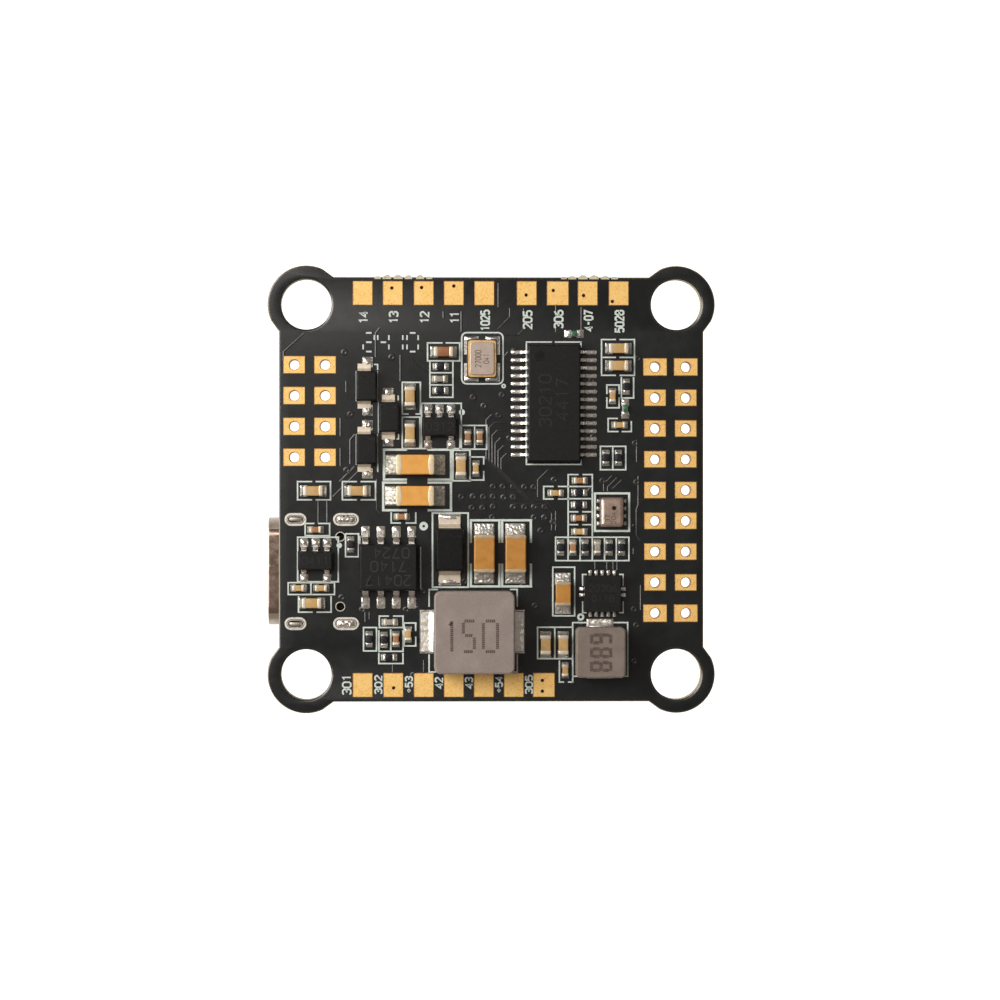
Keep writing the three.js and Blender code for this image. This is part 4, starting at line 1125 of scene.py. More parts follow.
def two_terminal(p, place, L, W, H, cap, body, seed, ext=0.24, kind="ceramic", pad_w=None, climb=0.7, cap_mat="cap", power=1.9, wet="solder", bow=0.05):
    pw = pad_w or W + 0.10
    z0 = PAD
    for s in (1, -1):
        a, b = sorted((s * (L / 2 - cap - 0.04), s * (L / 2 + ext + 0.04)))
        p.put(slab(rect(a, b, -pw / 2 - 0.02, pw / 2 + 0.02, 0.06, 2), [], -0.01, PAD, top=0.012), wet, place)
        f = fillet(ext + 0.04, pw, H * climb, seed=seed + s, foot=0.05, power=power, rough=(0.05 if wet == "solder" else 0.085) * min(1.0, W), nx=9 if wet == "solder" else 18, ny=9 if wet == "solder" else 26, lip=min(0.12, ext * 0.4))
        p.put(moved(f, x=s * (L / 2 - 0.012), z=PAD - 0.01, turn=0 if s > 0 else 180), wet, place)
        round_top = 0.13 if kind == "resistor" else (0.055 * min(1.2, W) + 0.02 if W > 0.6 else 0.085)
        p.put(soft_block(cap_loop(s, L, W, cap, bow * W), z0, H, round_top, 0.015, 5), cap_mat, place)
    e = 0.014
    if kind == "resistor":
        p.put(rbox(-L / 2 + cap * 0.4, L / 2 - cap * 0.4, -W / 2 + e, W / 2 - e, z0 + e, H - 0.035, r=0.015), "alumina", place)
        p.put(soft_block(rect(-L / 2 + cap * 0.86, L / 2 - cap * 0.86, -W / 2 + 0.004, W / 2 - 0.004, 0.04, 2), H - 0.10, H + 0.008, 0.035, 0), body, place)
    else:
        p.put(rbox(-L / 2 + cap * 0.5, L / 2 - cap * 0.5, -W / 2 + e, W / 2 - e, z0 + e, H - e, r=0.030 + 0.05 * W, seg=4), body, place)


def marks(p, place, rows, z, mat="mark", width=0.07, h=0.006):
    """Rows of numerals laid on a body: (text, x, y, height, turn)."""
    for text, x, y, size, turn in rows:
        for path in numerals(text, x, y, size, turn):
            p.put(ribbon(path, width, z - 0.01, z + h, taper=0.005), mat, place)


def gull_row(p, place, xs, half, root, lead_w, reach, t, side, seed, pad_w=None, lead_mat="tin", toe=0.30, blob=None, start=0.34):
    """One row of leads on local +Y (side 1) or -Y (side -1)."""
    pw = pad_w or lead_w + 0.12
    for i, x in enumerate(xs):
        f0, f1 = half + reach * start, half + reach + toe
        a, b = sorted((side * f0, side * f1))
        p.put(slab(rect(x - pw / 2, x + pw / 2, a, b, min(pw / 2 - 0.01, 0.12), 3), [], -0.01, PAD, top=0.012), "solder", place)
        L = lead(lead_w, reach, root, t, lift=PAD)
        p.put(moved(L, x=x, y=side * half, turn=90 * side), lead_mat, place)
        # a low wet mound round the foot and toe
        m = mound(f0 + 0.05 - half, f1 - half - 0.02, -pw / 2 + 0.01, pw / 2 - 0.01, blob or t * 0.62, seed=seed + i * 1.7, nx=9, ny=7, foot=0.02, rough=0.035 if blob else 0.02, power=2.2 if blob else 2.6)
        p.put(moved(m, x=x, y=side * half, z=PAD - 0.01, turn=90 * side), "solder", place)


def dimple(p, place, x, y, z, r, mat="epoxy_gloss", deep=0.0):
    """A shallow round mark, polished by the mould's ejector, sunk in a thin rim."""
    p.put(lathe([(0, z - 0.03), (r, z - 0.03), (r, z + 0.002), (r * 0.9, z + 0.004), (0, z + 0.004)], 28, x, y), mat, place)


def gull_package(p, place, L, W, H, stand, pitch, up_x, down_x, lead_w, reach, draft, seed, t=0.15, body="epoxy", toe=0.3, pad_w=None, blob=None, start=0.34):
    half = W / 2 - 0.02
    root = stand + (H - stand) * 0.5
    gull_row(p, place, up_x, half, root, lead_w, reach + 0.02, t, 1, seed, toe=toe, pad_w=pad_w, blob=blob, start=start)
    gull_row(p, place, down_x, half, root, lead_w, reach + 0.02, t, -1, seed + 50, toe=toe, pad_w=pad_w, blob=blob, start=start)
    p.put(moulded(L, W, H - stand, draft, stand, r=0.06), body, place)


def row(n, pitch):
    return [(i - (n - 1) / 2) * pitch for i in range(n)]


M = make_materials()
rnd = random.Random(30)

# ------------------------------------------------------------------ circuit board
A = math.radians(LUG_ANGLE)
C = PATTERN / 2
NEAR = BOARD / 2


def corner_points():
    """The outline from the middle of the +X edge round the first corner, for the +X +Y quarter."""
    pts = [(NEAR, LUG_START)]
    for i in range(27):
        t = -A + (math.pi / 2 + 2 * A) * i / 26
        pts.append((C + LUG_R * math.cos(t), C + LUG_R * math.sin(t)))
    pts.append((LUG_START, NEAR))
    return pts


quarter = corner_points()
outline = []
for k in range(4):
    t = math.radians(90 * k)
    outline += [(x * math.cos(t) - y * math.sin(t), x * math.sin(t) + y * math.cos(t)) for x, y in quarter]

big = [circle(sx * C, sy * C, HOLE_D / 2, 56) for sx in (1, -1) for sy in (1, -1)]
LEFT_PINS = [(x, 10.26 - 2.54 * r) for x in (-16.23, -13.69) for r in range(4)]
RIGHT_PINS = [(x, 10.10 - 2.54 * r) for x in (13.52, 16.06) for r in range(9)]
pins = [circle(x, y, 0.45, 20) for x, y in LEFT_PINS + RIGHT_PINS]
USB_Y = -6.77
SLOTS = [(-16.13, sy * 4.29 + USB_Y, 1.35, 0.62) for sy in (1, -1)] + [(-11.97, sy * 4.29 + USB_Y, 1.65, 0.62) for sy in (1, -1)]
slots = [obround(x, y, l, w, 7) for x, y, l, w in SLOTS]
PEGS = [(-12.45, USB_Y + s * 2.88) for s in (1, -1)]
pegs = [circle(x, y, 0.325, 16) for x, y in PEGS]


def board_plate():
    p = Piece("board_laminate")
    v, faces_up, faces_down, rims, barrels, rolls = [], [], [], [], [], []

    def ring(loop, z):
        start = len(v)
        v.extend((x, y, z) for x, y in loop)
        return list(range(start, start + len(loop)))

    tops, bottoms = [], []
    for kind, loop in [("edge", outline)] + [("big", l) for l in big] + [("small", l) for l in pins + slots + pegs]:
        sign = 1 if kind == "edge" else -1
        if kind != "small":
            # the mask draws down over each rim: a wide shallow roll on both faces
            roll = [(0.0, 0.105), (0.03, 0.062), (0.075, 0.030), (0.135, 0.010), (0.20, 0.0)] if kind == "big" else [(0.0, 0.085), (0.02, 0.048), (0.055, 0.022), (0.10, 0.007), (0.15, 0.0)]
            rs = [ring(inset(loop, sign * d) if d else loop, -THICK + z) for d, z in reversed(roll)]
            rs += [ring(inset(loop, sign * d) if d else loop, -z) for d, z in roll]
        else:
            rs = [ring(loop, -THICK), ring(loop, 0.0)]
        for q, (a, b) in enumerate(zip(rs, rs[1:])):
            target = barrels if kind == "small" else (rims if (q in (2, 3, 4, 5, 6) if kind == "edge" else q in (3, 4, 5)) else rolls)
            for i in range(len(a)):
                j = (i + 1) % len(a)
                target.append((a[i], a[j], b[j], b[i]) if kind == "edge" else (a[j], a[i], b[i], b[j]))
        bottoms.append(rs[0])
        tops.append(rs[-1])
    for ids, faces in ((tops, faces_up), (bottoms, faces_down)):
        flat = [i for l in ids for i in l]
        for tri in tess([[(v[i][0], v[i][1]) for i in l] for l in ids]):
            faces.append(tuple(flat[i] for i in tri))
    p.v = v
    p.mats = ["mask", "fr4", "rim"]
    p.f = faces_up + faces_down + rims + barrels + rolls
    p.m = [0] * (len(faces_up) + len(faces_down)) + [1] * (len(rims) + len(barrels)) + [2] * len(rolls)
    return p.make("board", replaces=["circuit_board"], angle=42, flat=len(faces_up) + len(faces_down))


board_plate()

nibs = Piece("board_breakaway_nibs")
for i, (x, tall, wide) in enumerate(((-9.38, 0.09, 0.52), (-8.62, 0.225, 0.70), (-7.69, 0.225, 0.74), (-6.84, 0.185, 0.62), (-5.88, 0.20, 0.66), (-5.12, 0.075, 0.50), (5.98, 0.06, 0.46), (6.67, 0.12, 0.66), (7.55, 0.215, 0.76), (8.47, 0.20, 0.78), (9.38, 0.13, 0.70), (10.16, 0.07, 0.56))):
    def lump(u, w, x=x, i=i, tall=tall, wide=wide):
        a = (u - 0.5) * wide
        h = tall * (1 - abs(2 * u - 1) ** 1.9) * (0.84 + 0.42 * noise.noise(Vector((u * 3.4 + i * 9.1, w * 3, i))))
        return (x + a + 0.03 * math.sin(i * 2.1) * h / 0.2, 0.012 - w * (THICK - 0.06), max(min(h, 0.235), -0.02))
    v, f = field(12, 6, lump, -0.17)
    nibs.put(([(a, NEAR + c, b) for a, b, c in v], f), "fibre")
nibs.make("board", angle=50)


def eyelet(p, x, y, w, h, hole_r, mat="gold", barrel=True, corner=0.03):
    """A plated pad on both faces, joined by its barrel."""
    inner = circle(x, y, hole_r - 0.035, 20)
    for z0, z1 in ((-0.01, 0.035), (-THICK - 0.035, -THICK + 0.01)):
        up_face = z0 > -1
        c, d = (0.055, 0.03), (0.05, 0.03)
        # pad rims in the darker flank colour: copper walls, partly painted shade
        p.put_plate(plate(rect(x - w / 2, x + w / 2, y - h / 2, y + h / 2, corner, 2), [inner], z0, z1, top=c if up_face else 0, bottom=0 if up_face else c, hole_top=d if up_face else 0, hole_bottom=0 if up_face else d), mat, "flank")
    if barrel:
        # the barrel in the darker flank colour, partly painted shade inside the hole
        p.put(tube_ring([(hole_r - 0.04, -THICK - 0.012), (hole_r + 0.004, -THICK - 0.012), (hole_r + 0.004, 0.012), (hole_r - 0.04, 0.012)], 20, x, y), "flank")


left = Piece("pin_pads_left")
for x, y in LEFT_PINS:
    eyelet(left, x, y, 1.81, 1.48, 0.45)
left.make("board", angle=18)
right = Piece("pin_pads_right")
for k, (x, y) in enumerate(RIGHT_PINS):
    eyelet(right, x, y, 1.98 if k % 9 in (0, 8) else 1.81, 1.48 if k % 9 in (0, 8) else 1.40, 0.45)
right.make("board", angle=18)

rings = Piece("usb_slot_plating")
for k, (x, y, l, w) in enumerate(SLOTS):
    rw, rh = (1.81, 1.07) if k < 2 else (2.14, 1.07)
    for z0, z1 in ((-0.01, 0.035), (-THICK - 0.035, -THICK + 0.01)):
        rings.put(slab(obround(x, y, rw, rh, 9), [obround(x, y, rw - 0.34, rh - 0.34, 9)], z0, z1, top=0.03 if z1 > 0 else 0, bottom=0 if z1 > 0 else 0.03), "ring")
    v, f, n = [], [], 16
    o, q = obround(x, y, l + 0.01, w + 0.01, 7), obround(x, y, l - 0.08, w - 0.08, 7)
    n = len(o)
    for loop, z in ((o, -THICK - 0.012), (o, 0.012), (q, 0.012), (q, -THICK - 0.012)):
        v += [(a, b, z) for a, b in loop]
    for s in range(4):
        for i in range(n):
            j = (i + 1) % n
            a, b = s * n, ((s + 1) % 4) * n
            f.append((a + i, a + j, b + j, b + i))
    rings.put((v, f), "ring")
for x, y in PEGS:
    for z0, z1 in ((-0.01, 0.03), (-THICK - 0.03, -THICK + 0.01)):
        rings.put(slab(circle(x, y, 0.405, 28), [circle(x, y, 0.345, 24)], z0, z1, top=0.012), "ring")
rings.make("board")

# solder drawn up round the rear tabs of the socket's shell
clumps = Piece("usb_tab_solder")
for k, (x, y, l, w) in enumerate(SLOTS):
    if k >= 2:
        clumps.put(moved(mound(-0.78, 0.78, -0.29, 0.29, 0.15, seed=k * 3.3, nx=18, ny=9, foot=0.03, rough=0.15, power=3.0), x=x + 0.03, y=y, z=-0.03), "solder")
    clumps.put(moved(mound(-l * 0.6, l * 0.6, -w * 0.62, w * 0.62, 0.16, seed=k + 8.1, nx=12, ny=6, foot=0.03, rough=0.05), x=x, y=y, z=0.03), "solder", FLIP @ Matrix.Scale(-1, 4, (0, 1, 0)))
clumps.make("board", angle=80)

TOP_PADS = [(-10.59, 1.65), (-8.11, 1.65), (-5.56, 1.65), (-3.08, 1.65), (-0.57, 1.65), (2.93, 1.65), (5.49, 1.81), (7.96, 1.65), (10.52, 1.65)]
LOW_PADS = [(-10.59, 1.65), (-8.07, 1.65), (-5.56, 1.65), (-3.08, 1.65), (-0.61, 1.65), (1.86, 1.65), (4.34, 1.81)]
TOP_DOTS = [(-8.2, 16.59), (-5.75, 16.63), (-3.09, 16.76), (2.87, 16.02), (5.11, 16.4), (7.61, 15.99), (9.99, 15.5)]
LOW_DOTS = [(-8.05, -16.36), (4.21, -15.75), (4.21, -16.64)]
edge = Piece("edge_pads_upper")
for pads, y, dots in ((TOP_PADS, 16.17, TOP_DOTS), (LOW_PADS, -16.13, LOW_DOTS)):
    for x, w in pads:
        holes = [circle(dx, dy, 0.125, 14) for dx, dy in dots if abs(dx - x) < w / 2 and abs(dy - y) < 0.98]
        # pad rims in the darker flank colour: copper walls, partly painted shade
        edge.put_plate(plate(rect(x - w / 2, x + w / 2, y - 1.01, y + 1.01, 0.03, 2), holes, -0.01, 0.035, top=(0.055, 0.03), hole_top=(0.03, 0.02)), "gold", "flank")
        # a near-black disc in each via hole: painted shade of the hole
        for dx, dy in dots:
            if abs(dx - x) < w / 2 and abs(dy - y) < 0.98:
                edge.put(lathe([(0, -0.008), (0.12, -0.008), (0.12, 0.010), (0, 0.004)], 14, dx, dy), "hole_shade")
edge.make("board", angle=18)
edge = Piece("edge_pads_lower")
for pads, y in ((TOP_PADS, 16.17), (LOW_PADS, -16.13)):
    for x, w in pads:
        # pad rims in the darker flank colour: copper walls, partly painted shade
        edge.put_plate(plate(rect(x - w / 2, x + w / 2, y - 1.01, y + 1.01, 0.03, 2), [], -THICK - 0.035, -THICK + 0.01, bottom=(0.055, 0.03)), "gold", "flank")
edge.make("board", angle=18)

# ------------------------------------------------------------------ copper and legend of the upper face
copper = Piece("traces_upper")
for w, pts in TRACES:
    copper.put(ribbon(pts, w + 0.05, 0.0, 0.024, taper=0.07), "trace")
copper.make("board", angle=15)

legend = Piece("legend_upper")
LZ0, LZ1 = 0.0, 0.046
for w, closed, pts in SILK:
    legend.put(ribbon(pts, w, LZ0, LZ1, closed=bool(closed), taper=0.015), "ink")
for x, y, r in SILK_DOTS:
    legend.put(lathe([(0, LZ0), (r, LZ0), (r - 0.015, LZ1), (0, LZ1)], 24, x, y), "ink")
for x, y, R, r in SILK_RINGS:
    legend.put(slab(circle(x, y, R, 40), [circle(x, y, r, 36)], LZ0, LZ1, top=0.01), "ink")
UPPER_LABELS = [("14", 14.17, 0.92, 0.9), ("13", 14.17, 0.92, 0.9), ("12", 14.17, 0.92, 0.9), ("11", 14.17, 0.92, 0.9), ("1025", 13.93, 0.74, 1.0), ("205", 13.98, 0.92, 1.1), ("306", 14.02, 0.92, 1.1), ("4-07", 13.92, 0.74, 1.0), ("5028", 13.86, 0.78, 1.2)]
for k, (text, y, squeeze, gap) in enumerate(UPPER_LABELS):
    for path in numerals(text, TOP_PADS[k][0] + 0.06, y, 0.66, 90, squeeze, gap):
        legend.put(ribbon(path, 0.155, LZ0, LZ1, taper=0.012), "ink")
LOWER_LABELS = [("301", 0.66, 0.98, 1.4, -1.32), ("302", 0.54, 1.1, 1.7, -1.235), ("+53", 0.54, 1.0, 1.3, -1.235), ("42", 0.58, 0.95, 1.2, -1.235), ("43", 0.58, 0.95, 1.2, -1.235), ("+54", 0.54, 1.0, 1.3, -1.235), ("305", 0.54, 1.1, 1.7, -1.235)]
for k, (text, size, squeeze, gap, dx) in enumerate(LOWER_LABELS):
    for path in numerals(text, LOW_PADS[k][0] + dx, -16.1 if len(text) == 3 else -15.95, size, 90, squeeze, gap):
        legend.put(ribbon(path, 0.14, LZ0, LZ1, taper=0.012), "ink")
# a code in short bars, seven to a figure
BARS = {"a": ((0, 1), "h"), "b": ((1, 0.5), "v"), "c": ((1, -0.5), "v"), "d": ((0, -1), "h"), "e": ((-1, -0.5), "v"), "f": ((-1, 0.5), "v"), "g": ((0, 0), "h")}
FIGURES = {"0": "abcdef", "1": "bc", "2": "abged", "3": "abgcd", "4": "fgbc", "5": "afgcd", "7": "abc"}
for text, cx in (("2", -10.10), ("4", -8.90), ("1", -7.76), ("0", -6.49)):
    for name in FIGURES[text]:
        (bx, by), way = BARS[name]
        x, y = cx + bx * 0.46, 12.12 + by * 0.77
        if way == "h":
            legend.put(ribbon([(x - 0.23, y), (x + 0.23, y)], 0.15, LZ0, LZ1, taper=0.012), "ink")
        else:
            legend.put(ribbon([(x, y - 0.20), (x, y + 0.20)], 0.13, LZ0, LZ1, taper=0.012), "ink")
legend.make("board", angle=30)

vias = Piece("vias_upper")
VIAS = []
keep = [(-1.0, -11.7, 5.2), (5.2, 7.1, 4.2)]
for gx in range(9):
    for gy in range(4):
        VIAS.append((-2.4 + gx * 0.85 + rnd.uniform(-0.06, 0.06), 0.2 - gy * 0.83 + rnd.uniform(-0.06, 0.06)))
VIAS = [v for i, v in enumerate(VIAS) if rnd.random() < 0.62]
EXTRA_VIAS = [(-11.9, 1.6), (-12.0, -2.2), (-10.6, -9.9), (-6.2, -9.6), (-7.0, -9.9), (2.2, -14.8), (2.7, -7.9), (3.6, -9.6), (11.9, 3.8), (12.0, 0.6), (11.6, -2.9), (11.8, -9.9), (12.0, -11.2), (-0.6, 6.9), (0.6, 6.1), (1.5, 4.2), (1.9, 11.4), (0.9, 7.8), (-1.5, 7.6), (8.4, 4.3), (8.3, 9.0), (12.1, 10.8), (-12.1, 11.3), (-11.6, 6.2), (-8.2, 10.9), (8.2, -0.1), (9.2, 0.7), (5.2, 0.8), (4.1, -3.4), (5.1, -2.7), (-4.0, -8.0), (-5.6, -8.4), (-2.2, -7.6), (0.8, -7.7), (-12.3, -8.9), (-6.4, -15.3), (7.4, -11.0), (11.8, -14.2)]
for x, y in VIAS + EXTRA_VIAS:
    vias.put(lathe([(0, -0.01), (0.30, -0.01), (0.30, 0.001), (0.255, 0.012), (0.20, 0.022), (0.155, 0.025), (0.115, 0.019), (0.07, 0.004), (0.03, -0.002), (0, -0.003)], 20, x, y), "rim" if rnd.random() < 0.35 else "trace")
vias.make("board", angle=80)


# ------------------------------------------------------------------ parts of the upper face
def osd_chip():
    p = Piece("osd_package")
    pl = up(5.15, 7.08, 90)
    xs = row(14, 0.65)
    gull_package(p, pl, 9.7, 4.4, 1.1, 0.1, 0.65, xs, xs, 0.26, 1.0, 0.12, 3, t=0.13, toe=0.34, pad_w=0.33, blob=0.10, start=0.42)
    # the first pin's end and side are marked by a polished round
    dimple(p, pl, 3.90, 1.28, 1.1, 0.48)
    marks(p, pl, [("30210", 0.2, 0.75, 0.95, 0), ("4417", 0.3, -0.65, 0.95, 0)], 1.1, "mark_faint", 0.10)
    p.make(replaces=["osd_chip"])


osd_chip()


def crystal(name, node, pl, L=3.2, W=2.5, base=0.55, lid=0.25, seed=0, text="27000"):
    p = Piece(name)
    pads_for(p, pl, [(sx * 1.1 - 0.75 if sx > 0 else -1.85, 1.85 if sx > 0 else -0.35 - 0.0, 0.28 if sy > 0 else -1.48, 1.48 if sy > 0 else -0.28) for sx in (1, -1) for sy in (1, -1)])
    for sx in (1, -1):
        for sy in (1, -1):
            m = mound(1.42, 1.84, 0.34, 1.44, 0.20, seed=seed + sx * 2 + sy, nx=7, ny=8, foot=0.04, rough=0.05)
            m = ([(sx * x, sy * y, z) for x, y, z in m[0]], m[1] if sx * sy > 0 else [tuple(reversed(q)) for q in m[1]])
            p.put(moved(m, z=PAD - 0.01), "solder", pl)
    p.put(soft_block(rect(-L / 2, L / 2, -W / 2, W / 2, 0.14, 3), PAD, base, 0.03, 0.03), "base", pl)
    p.put(slab(rect(-L / 2 + 0.09, L / 2 - 0.09, -W / 2 + 0.09, W / 2 - 0.09, 0.24, 4), [], base - 0.02, base + 0.05, top=0.02), "goldrim", pl)
    p.put(soft_block(rect(-L / 2 + 0.25, L / 2 - 0.25, -W / 2 + 0.25, W / 2 - 0.25, 0.3, 5), base + 0.03, base + lid, 0.06, 0.0), "lid", pl)
    for word, wy, size in ((text, 0.32, 0.46), ("041", -0.34, 0.44)):
        for path in numerals(word, -0.02, wy, size, 0, 0.66, 1.2):
            p.put(ribbon(path, 0.058, base + lid - 0.01, base + lid + 0.006, taper=0.005), "ferrite_ink", pl)
    p.make(replaces=[node])


crystal("osd_crystal_can", "osd_crystal", up(-0.78, 10.76, 90), seed=5)


def soic(name, node, pl, L, W, H, seed, rows_, reach=1.1, lw=0.42):
    p = Piece(name)
    xs = row(4, 1.27)
    gull_package(p, pl, L, W, H, 0.15, 1.27, xs, xs, lw, reach, 0.16, seed, t=0.2, toe=0.34, pad_w=0.70, blob=0.19, start=0.44)
    dimple(p, pl, -L / 2 + 0.75, -W / 2 + 0.8, H, 0.24)
    marks(p, pl, rows_, H, width=0.10)
    p.make(replaces=[node])


soic("buck_package", "buck_regulator", up(-8.47, -6.42, 0), 4.9, 3.9, 1.55, 11, [("20417", 0.0, -1.05, 0.82, 180), ("7140", 0.0, 0.1, 0.82, 180), ("0724", 0.25, 1.2, 0.82, 180)], lw=0.50)


def sot(name, node, pl, seed, text):
    p = Piece(name)
    gull_package(p, pl, 2.9, 1.6, 1.15, 0.1, 0.95, [-0.95, 0, 0.95], [-0.95, 0.95], 0.42, 0.62, 0.10, seed, t=0.14, toe=0.42, pad_w=0.68, blob=0.24, start=0.50)
    marks(p, pl, [(text, 0.0, 0.0, 0.62, 0)], 1.15, "mark_faint", 0.075)
    p.make(replaces=[node])


sot("regulator_a_package", "regulator_a", up(-4.28, 5.16, 0), 21, "0312")
sot("regulator_b_package", "regulator_b", up(-14.48, -5.86, 0), 23, "0411")


def qfn():
    p = Piece("converter_package")
    pl = up(9.15, -8.58, 0)
    for k, (n, pitch) in enumerate(((5, 0.5), (2, 0.5))):
        for s in (1, -1):
            for i, q in enumerate(row(n, pitch)):
                w = 0.25 if n == 5 else 0.30
                q += 0.0 if n == 5 else 0.12
                r = [(q - w / 2, q + w / 2, s * 1.12, s * 1.92)] if k == 0 else [(s * 1.12, s * 1.92, q - w / 2, q + w / 2)]
                r = [(min(a, b), max(a, b), min(c, d), max(c, d)) for a, b, c, d in r]
                pads_for(p, pl, r)
                f = fillet(0.36, w, 0.20, seed=k * 9 + i + s, foot=0.03, rough=0.03, nx=5, ny=4, lip=0.06)
                turn = (90 * s) if k == 0 else (0 if s > 0 else 180)
                x, y = (q, s * 1.49) if k == 0 else (s * 1.49, q)
                p.put(moved(f, x=x, y=y, z=PAD - 0.01, turn=turn), "solder", pl)
                x0, x1, y0, y1 = (q - 0.12, q + 0.12, s * 1.40, s * 1.512) if k == 0 else (s * 1.40, s * 1.512, q - 0.15, q + 0.15)
                p.put(rbox(min(x0, x1), max(x0, x1), min(y0, y1), max(y0, y1), PAD, 0.24, r=0.015), "tin", pl)
    p.put(soft_block(rect(-1.5, 1.5, -1.5, 1.5, 0.03, 2), PAD + 0.005, 0.88, 0.035, 0.02), "epoxy", pl)
    dimple(p, pl, -1.08, 1.08, 0.88, 0.14)
    marks(p, pl, [("20306", 0.0, 0.45, 0.5, 0), ("0118", 0.0, -0.4, 0.5, 0)], 0.88, "mark_faint", 0.055)
    p.make(replaces=["converter"])


qfn()


def inductor(name, node, pl, L, W, H, corner, tw, exts, text, size, seed, text_turn, thick=0.24, squeeze=0.86, gap=1.15, skin="ferrite", solid=False):
    p = Piece(name)
    loop = rect(-L / 2, L / 2, -W / 2, W / 2, corner, 5)
    p.put(soft_block(loop, PAD + 0.03, H, 0.17, 0.10, 4), skin, pl)
    for s, ext in zip((1, -1), exts):
        a, b = sorted((s * (L / 2 - 0.9), s * (L / 2 + ext)))
        pads_for(p, pl, [(a, b, -tw / 2 - 0.06, tw / 2 + 0.06)])
        a, b = sorted((s * (L / 2 - 0.04), s * (L / 2 + 0.09)))
        p.put(rbox(a, b, -tw / 2 + 0.15, tw / 2 - 0.15, PAD, H * 0.42, r=0.04), "tin", pl)
        if ext < 0.25:
            continue

        def sheet(u, w, ext=ext, s=s):
            x, y = u * (ext - 0.03), (w - 0.5) * tw
            e = min(1.0, min(min(w, 1 - w) * tw, (1 - u) * ext) / 0.10)
            e = math.sqrt(max(1 - (1 - e) ** 2, 0.0))
            step = 0.20 * max(0.0, 1 - x / 0.42) ** 1.5
            z = (0.16 + step + 0.035 * noise.noise(Vector((x * 3.2 + seed, y * 3.2, s))) + 0.012 * noise.noise(Vector((x * 11, y * 11 + seed, s)))) * e
            return (x, y, max(z, 0.015))
        p.put(moved(field(16, 34, sheet), x=s * (L / 2 + 0.02), z=PAD - 0.01, turn=0 if s > 0 else 180), "sheet", pl)
    # numerals printed on the top, in short strokes or solid
    strokes = numerals(text, 0, 0, size, text_turn, squeeze, gap) if isinstance(text, str) else [q for mark, x, y, s in text for q in numerals(mark, x, y, size, text_turn, s)]
    for path in strokes:
        for d in ([path] if solid else dashes(path, 0.120, 0.032)):
            p.put(ribbon(d, thick, H - 0.01, H + 0.007, taper=0.01), "ferrite_ink", pl)
    p.make(replaces=[node])


inductor("inductor_large_body", "inductor_large", up(-1.43, -11.72, 0), 6.6, 6.75, 3.0, 0.55, 3.46, (0.88, 1.17), (("i", -1.86, -0.28, 0.6), ("s", -0.47, -0.28, 0.60), ("o", 1.29, -0.28, 0.73)), 2.50, 31, 0, thick=0.26)
inductor("inductor_small_body", "inductor_small", up(8.95, -13.39, 90), 4.15, 4.1, 2.0, 0.4, 2.1, (0.66, 0.12), "pqq", 1.56, 37, 180, thick=0.285, squeeze=0.60, gap=1.95, skin="ferrite_fine", solid=True)


def flat_diode(name, node, pl, L, W, H, lw, reach, seed, draft=0.14, t=0.15, body="epoxy_deep", end=0.55, blob_w=0.82, blob_h=0.24, dy=0.0, blob_dy=0.0, start=0.70):
    p = Piece(name)
    root = H * 0.44
    for s in (1, -1):
        a, b = sorted((s * (L / 2 + reach * 0.5), s * (L / 2 + reach + end)))
        pads_for(p, pl, [(a, b, blob_dy - blob_w / 2 - 0.02, blob_dy + blob_w / 2 + 0.02)])
        g = lead(lw, reach + 0.03, root, t, shoulder=0.08, knee=0.26, lift=PAD)
        p.put(moved(g, x=s * (L / 2 - 0.03), y=dy, turn=0 if s > 0 else 180), "cap", pl)
        m = mound(reach * start, reach + end - 0.02, -blob_w / 2, blob_w / 2, blob_h, seed=seed + s * 1.9, nx=14, ny=16, foot=0.04, rough=0.06, power=2.4)
        p.put(moved(m, x=s * L / 2, y=blob_dy, z=PAD - 0.01, turn=0 if s > 0 else 180), "solder", pl)
    p.put(moulded(L, W, H - 0.08, draft, 0.08, r=0.07), body, pl)
    w = L * 0.085
    x = L / 2 - draft - L * 0.13
    p.put(slab(rect(x - w / 2, x + w / 2, -W / 2 + draft + 0.08, W / 2 - draft - 0.08), [], H - 0.01, H + 0.006), "epoxy_gloss", pl)
    p.make(replaces=[node])


flat_diode("power_diode_package", "power_diode", up(-3.44, -4.96, 90), 3.55, 2.4, 1.5, 1.78, 0.95, 41, end=0.22, blob_w=1.8, blob_h=0.19, start=0.62)
flat_diode("schottky_a_package", "schottky_diode_a", up(-10.27, 8.5, 90), 2.5, 1.72, 1.05, 1.1, 0.60, 43, draft=0.10, body="epoxy", dy=0.2, blob_dy=-0.06)
flat_diode("schottky_b_package", "schottky_diode_b", up(-10.27, 3.3, 90), 2.5, 1.72, 1.05, 1.1, 0.60, 45, draft=0.10, body="epoxy", dy=0.2, blob_dy=-0.06)
flat_diode("schottky_c_package", "schottky_diode_c", up(-8.43, 5.95, 90), 2.5, 1.72, 1.05, 1.1, 0.60, 47, draft=0.10, body="epoxy", dy=0.06, blob_dy=0.08)


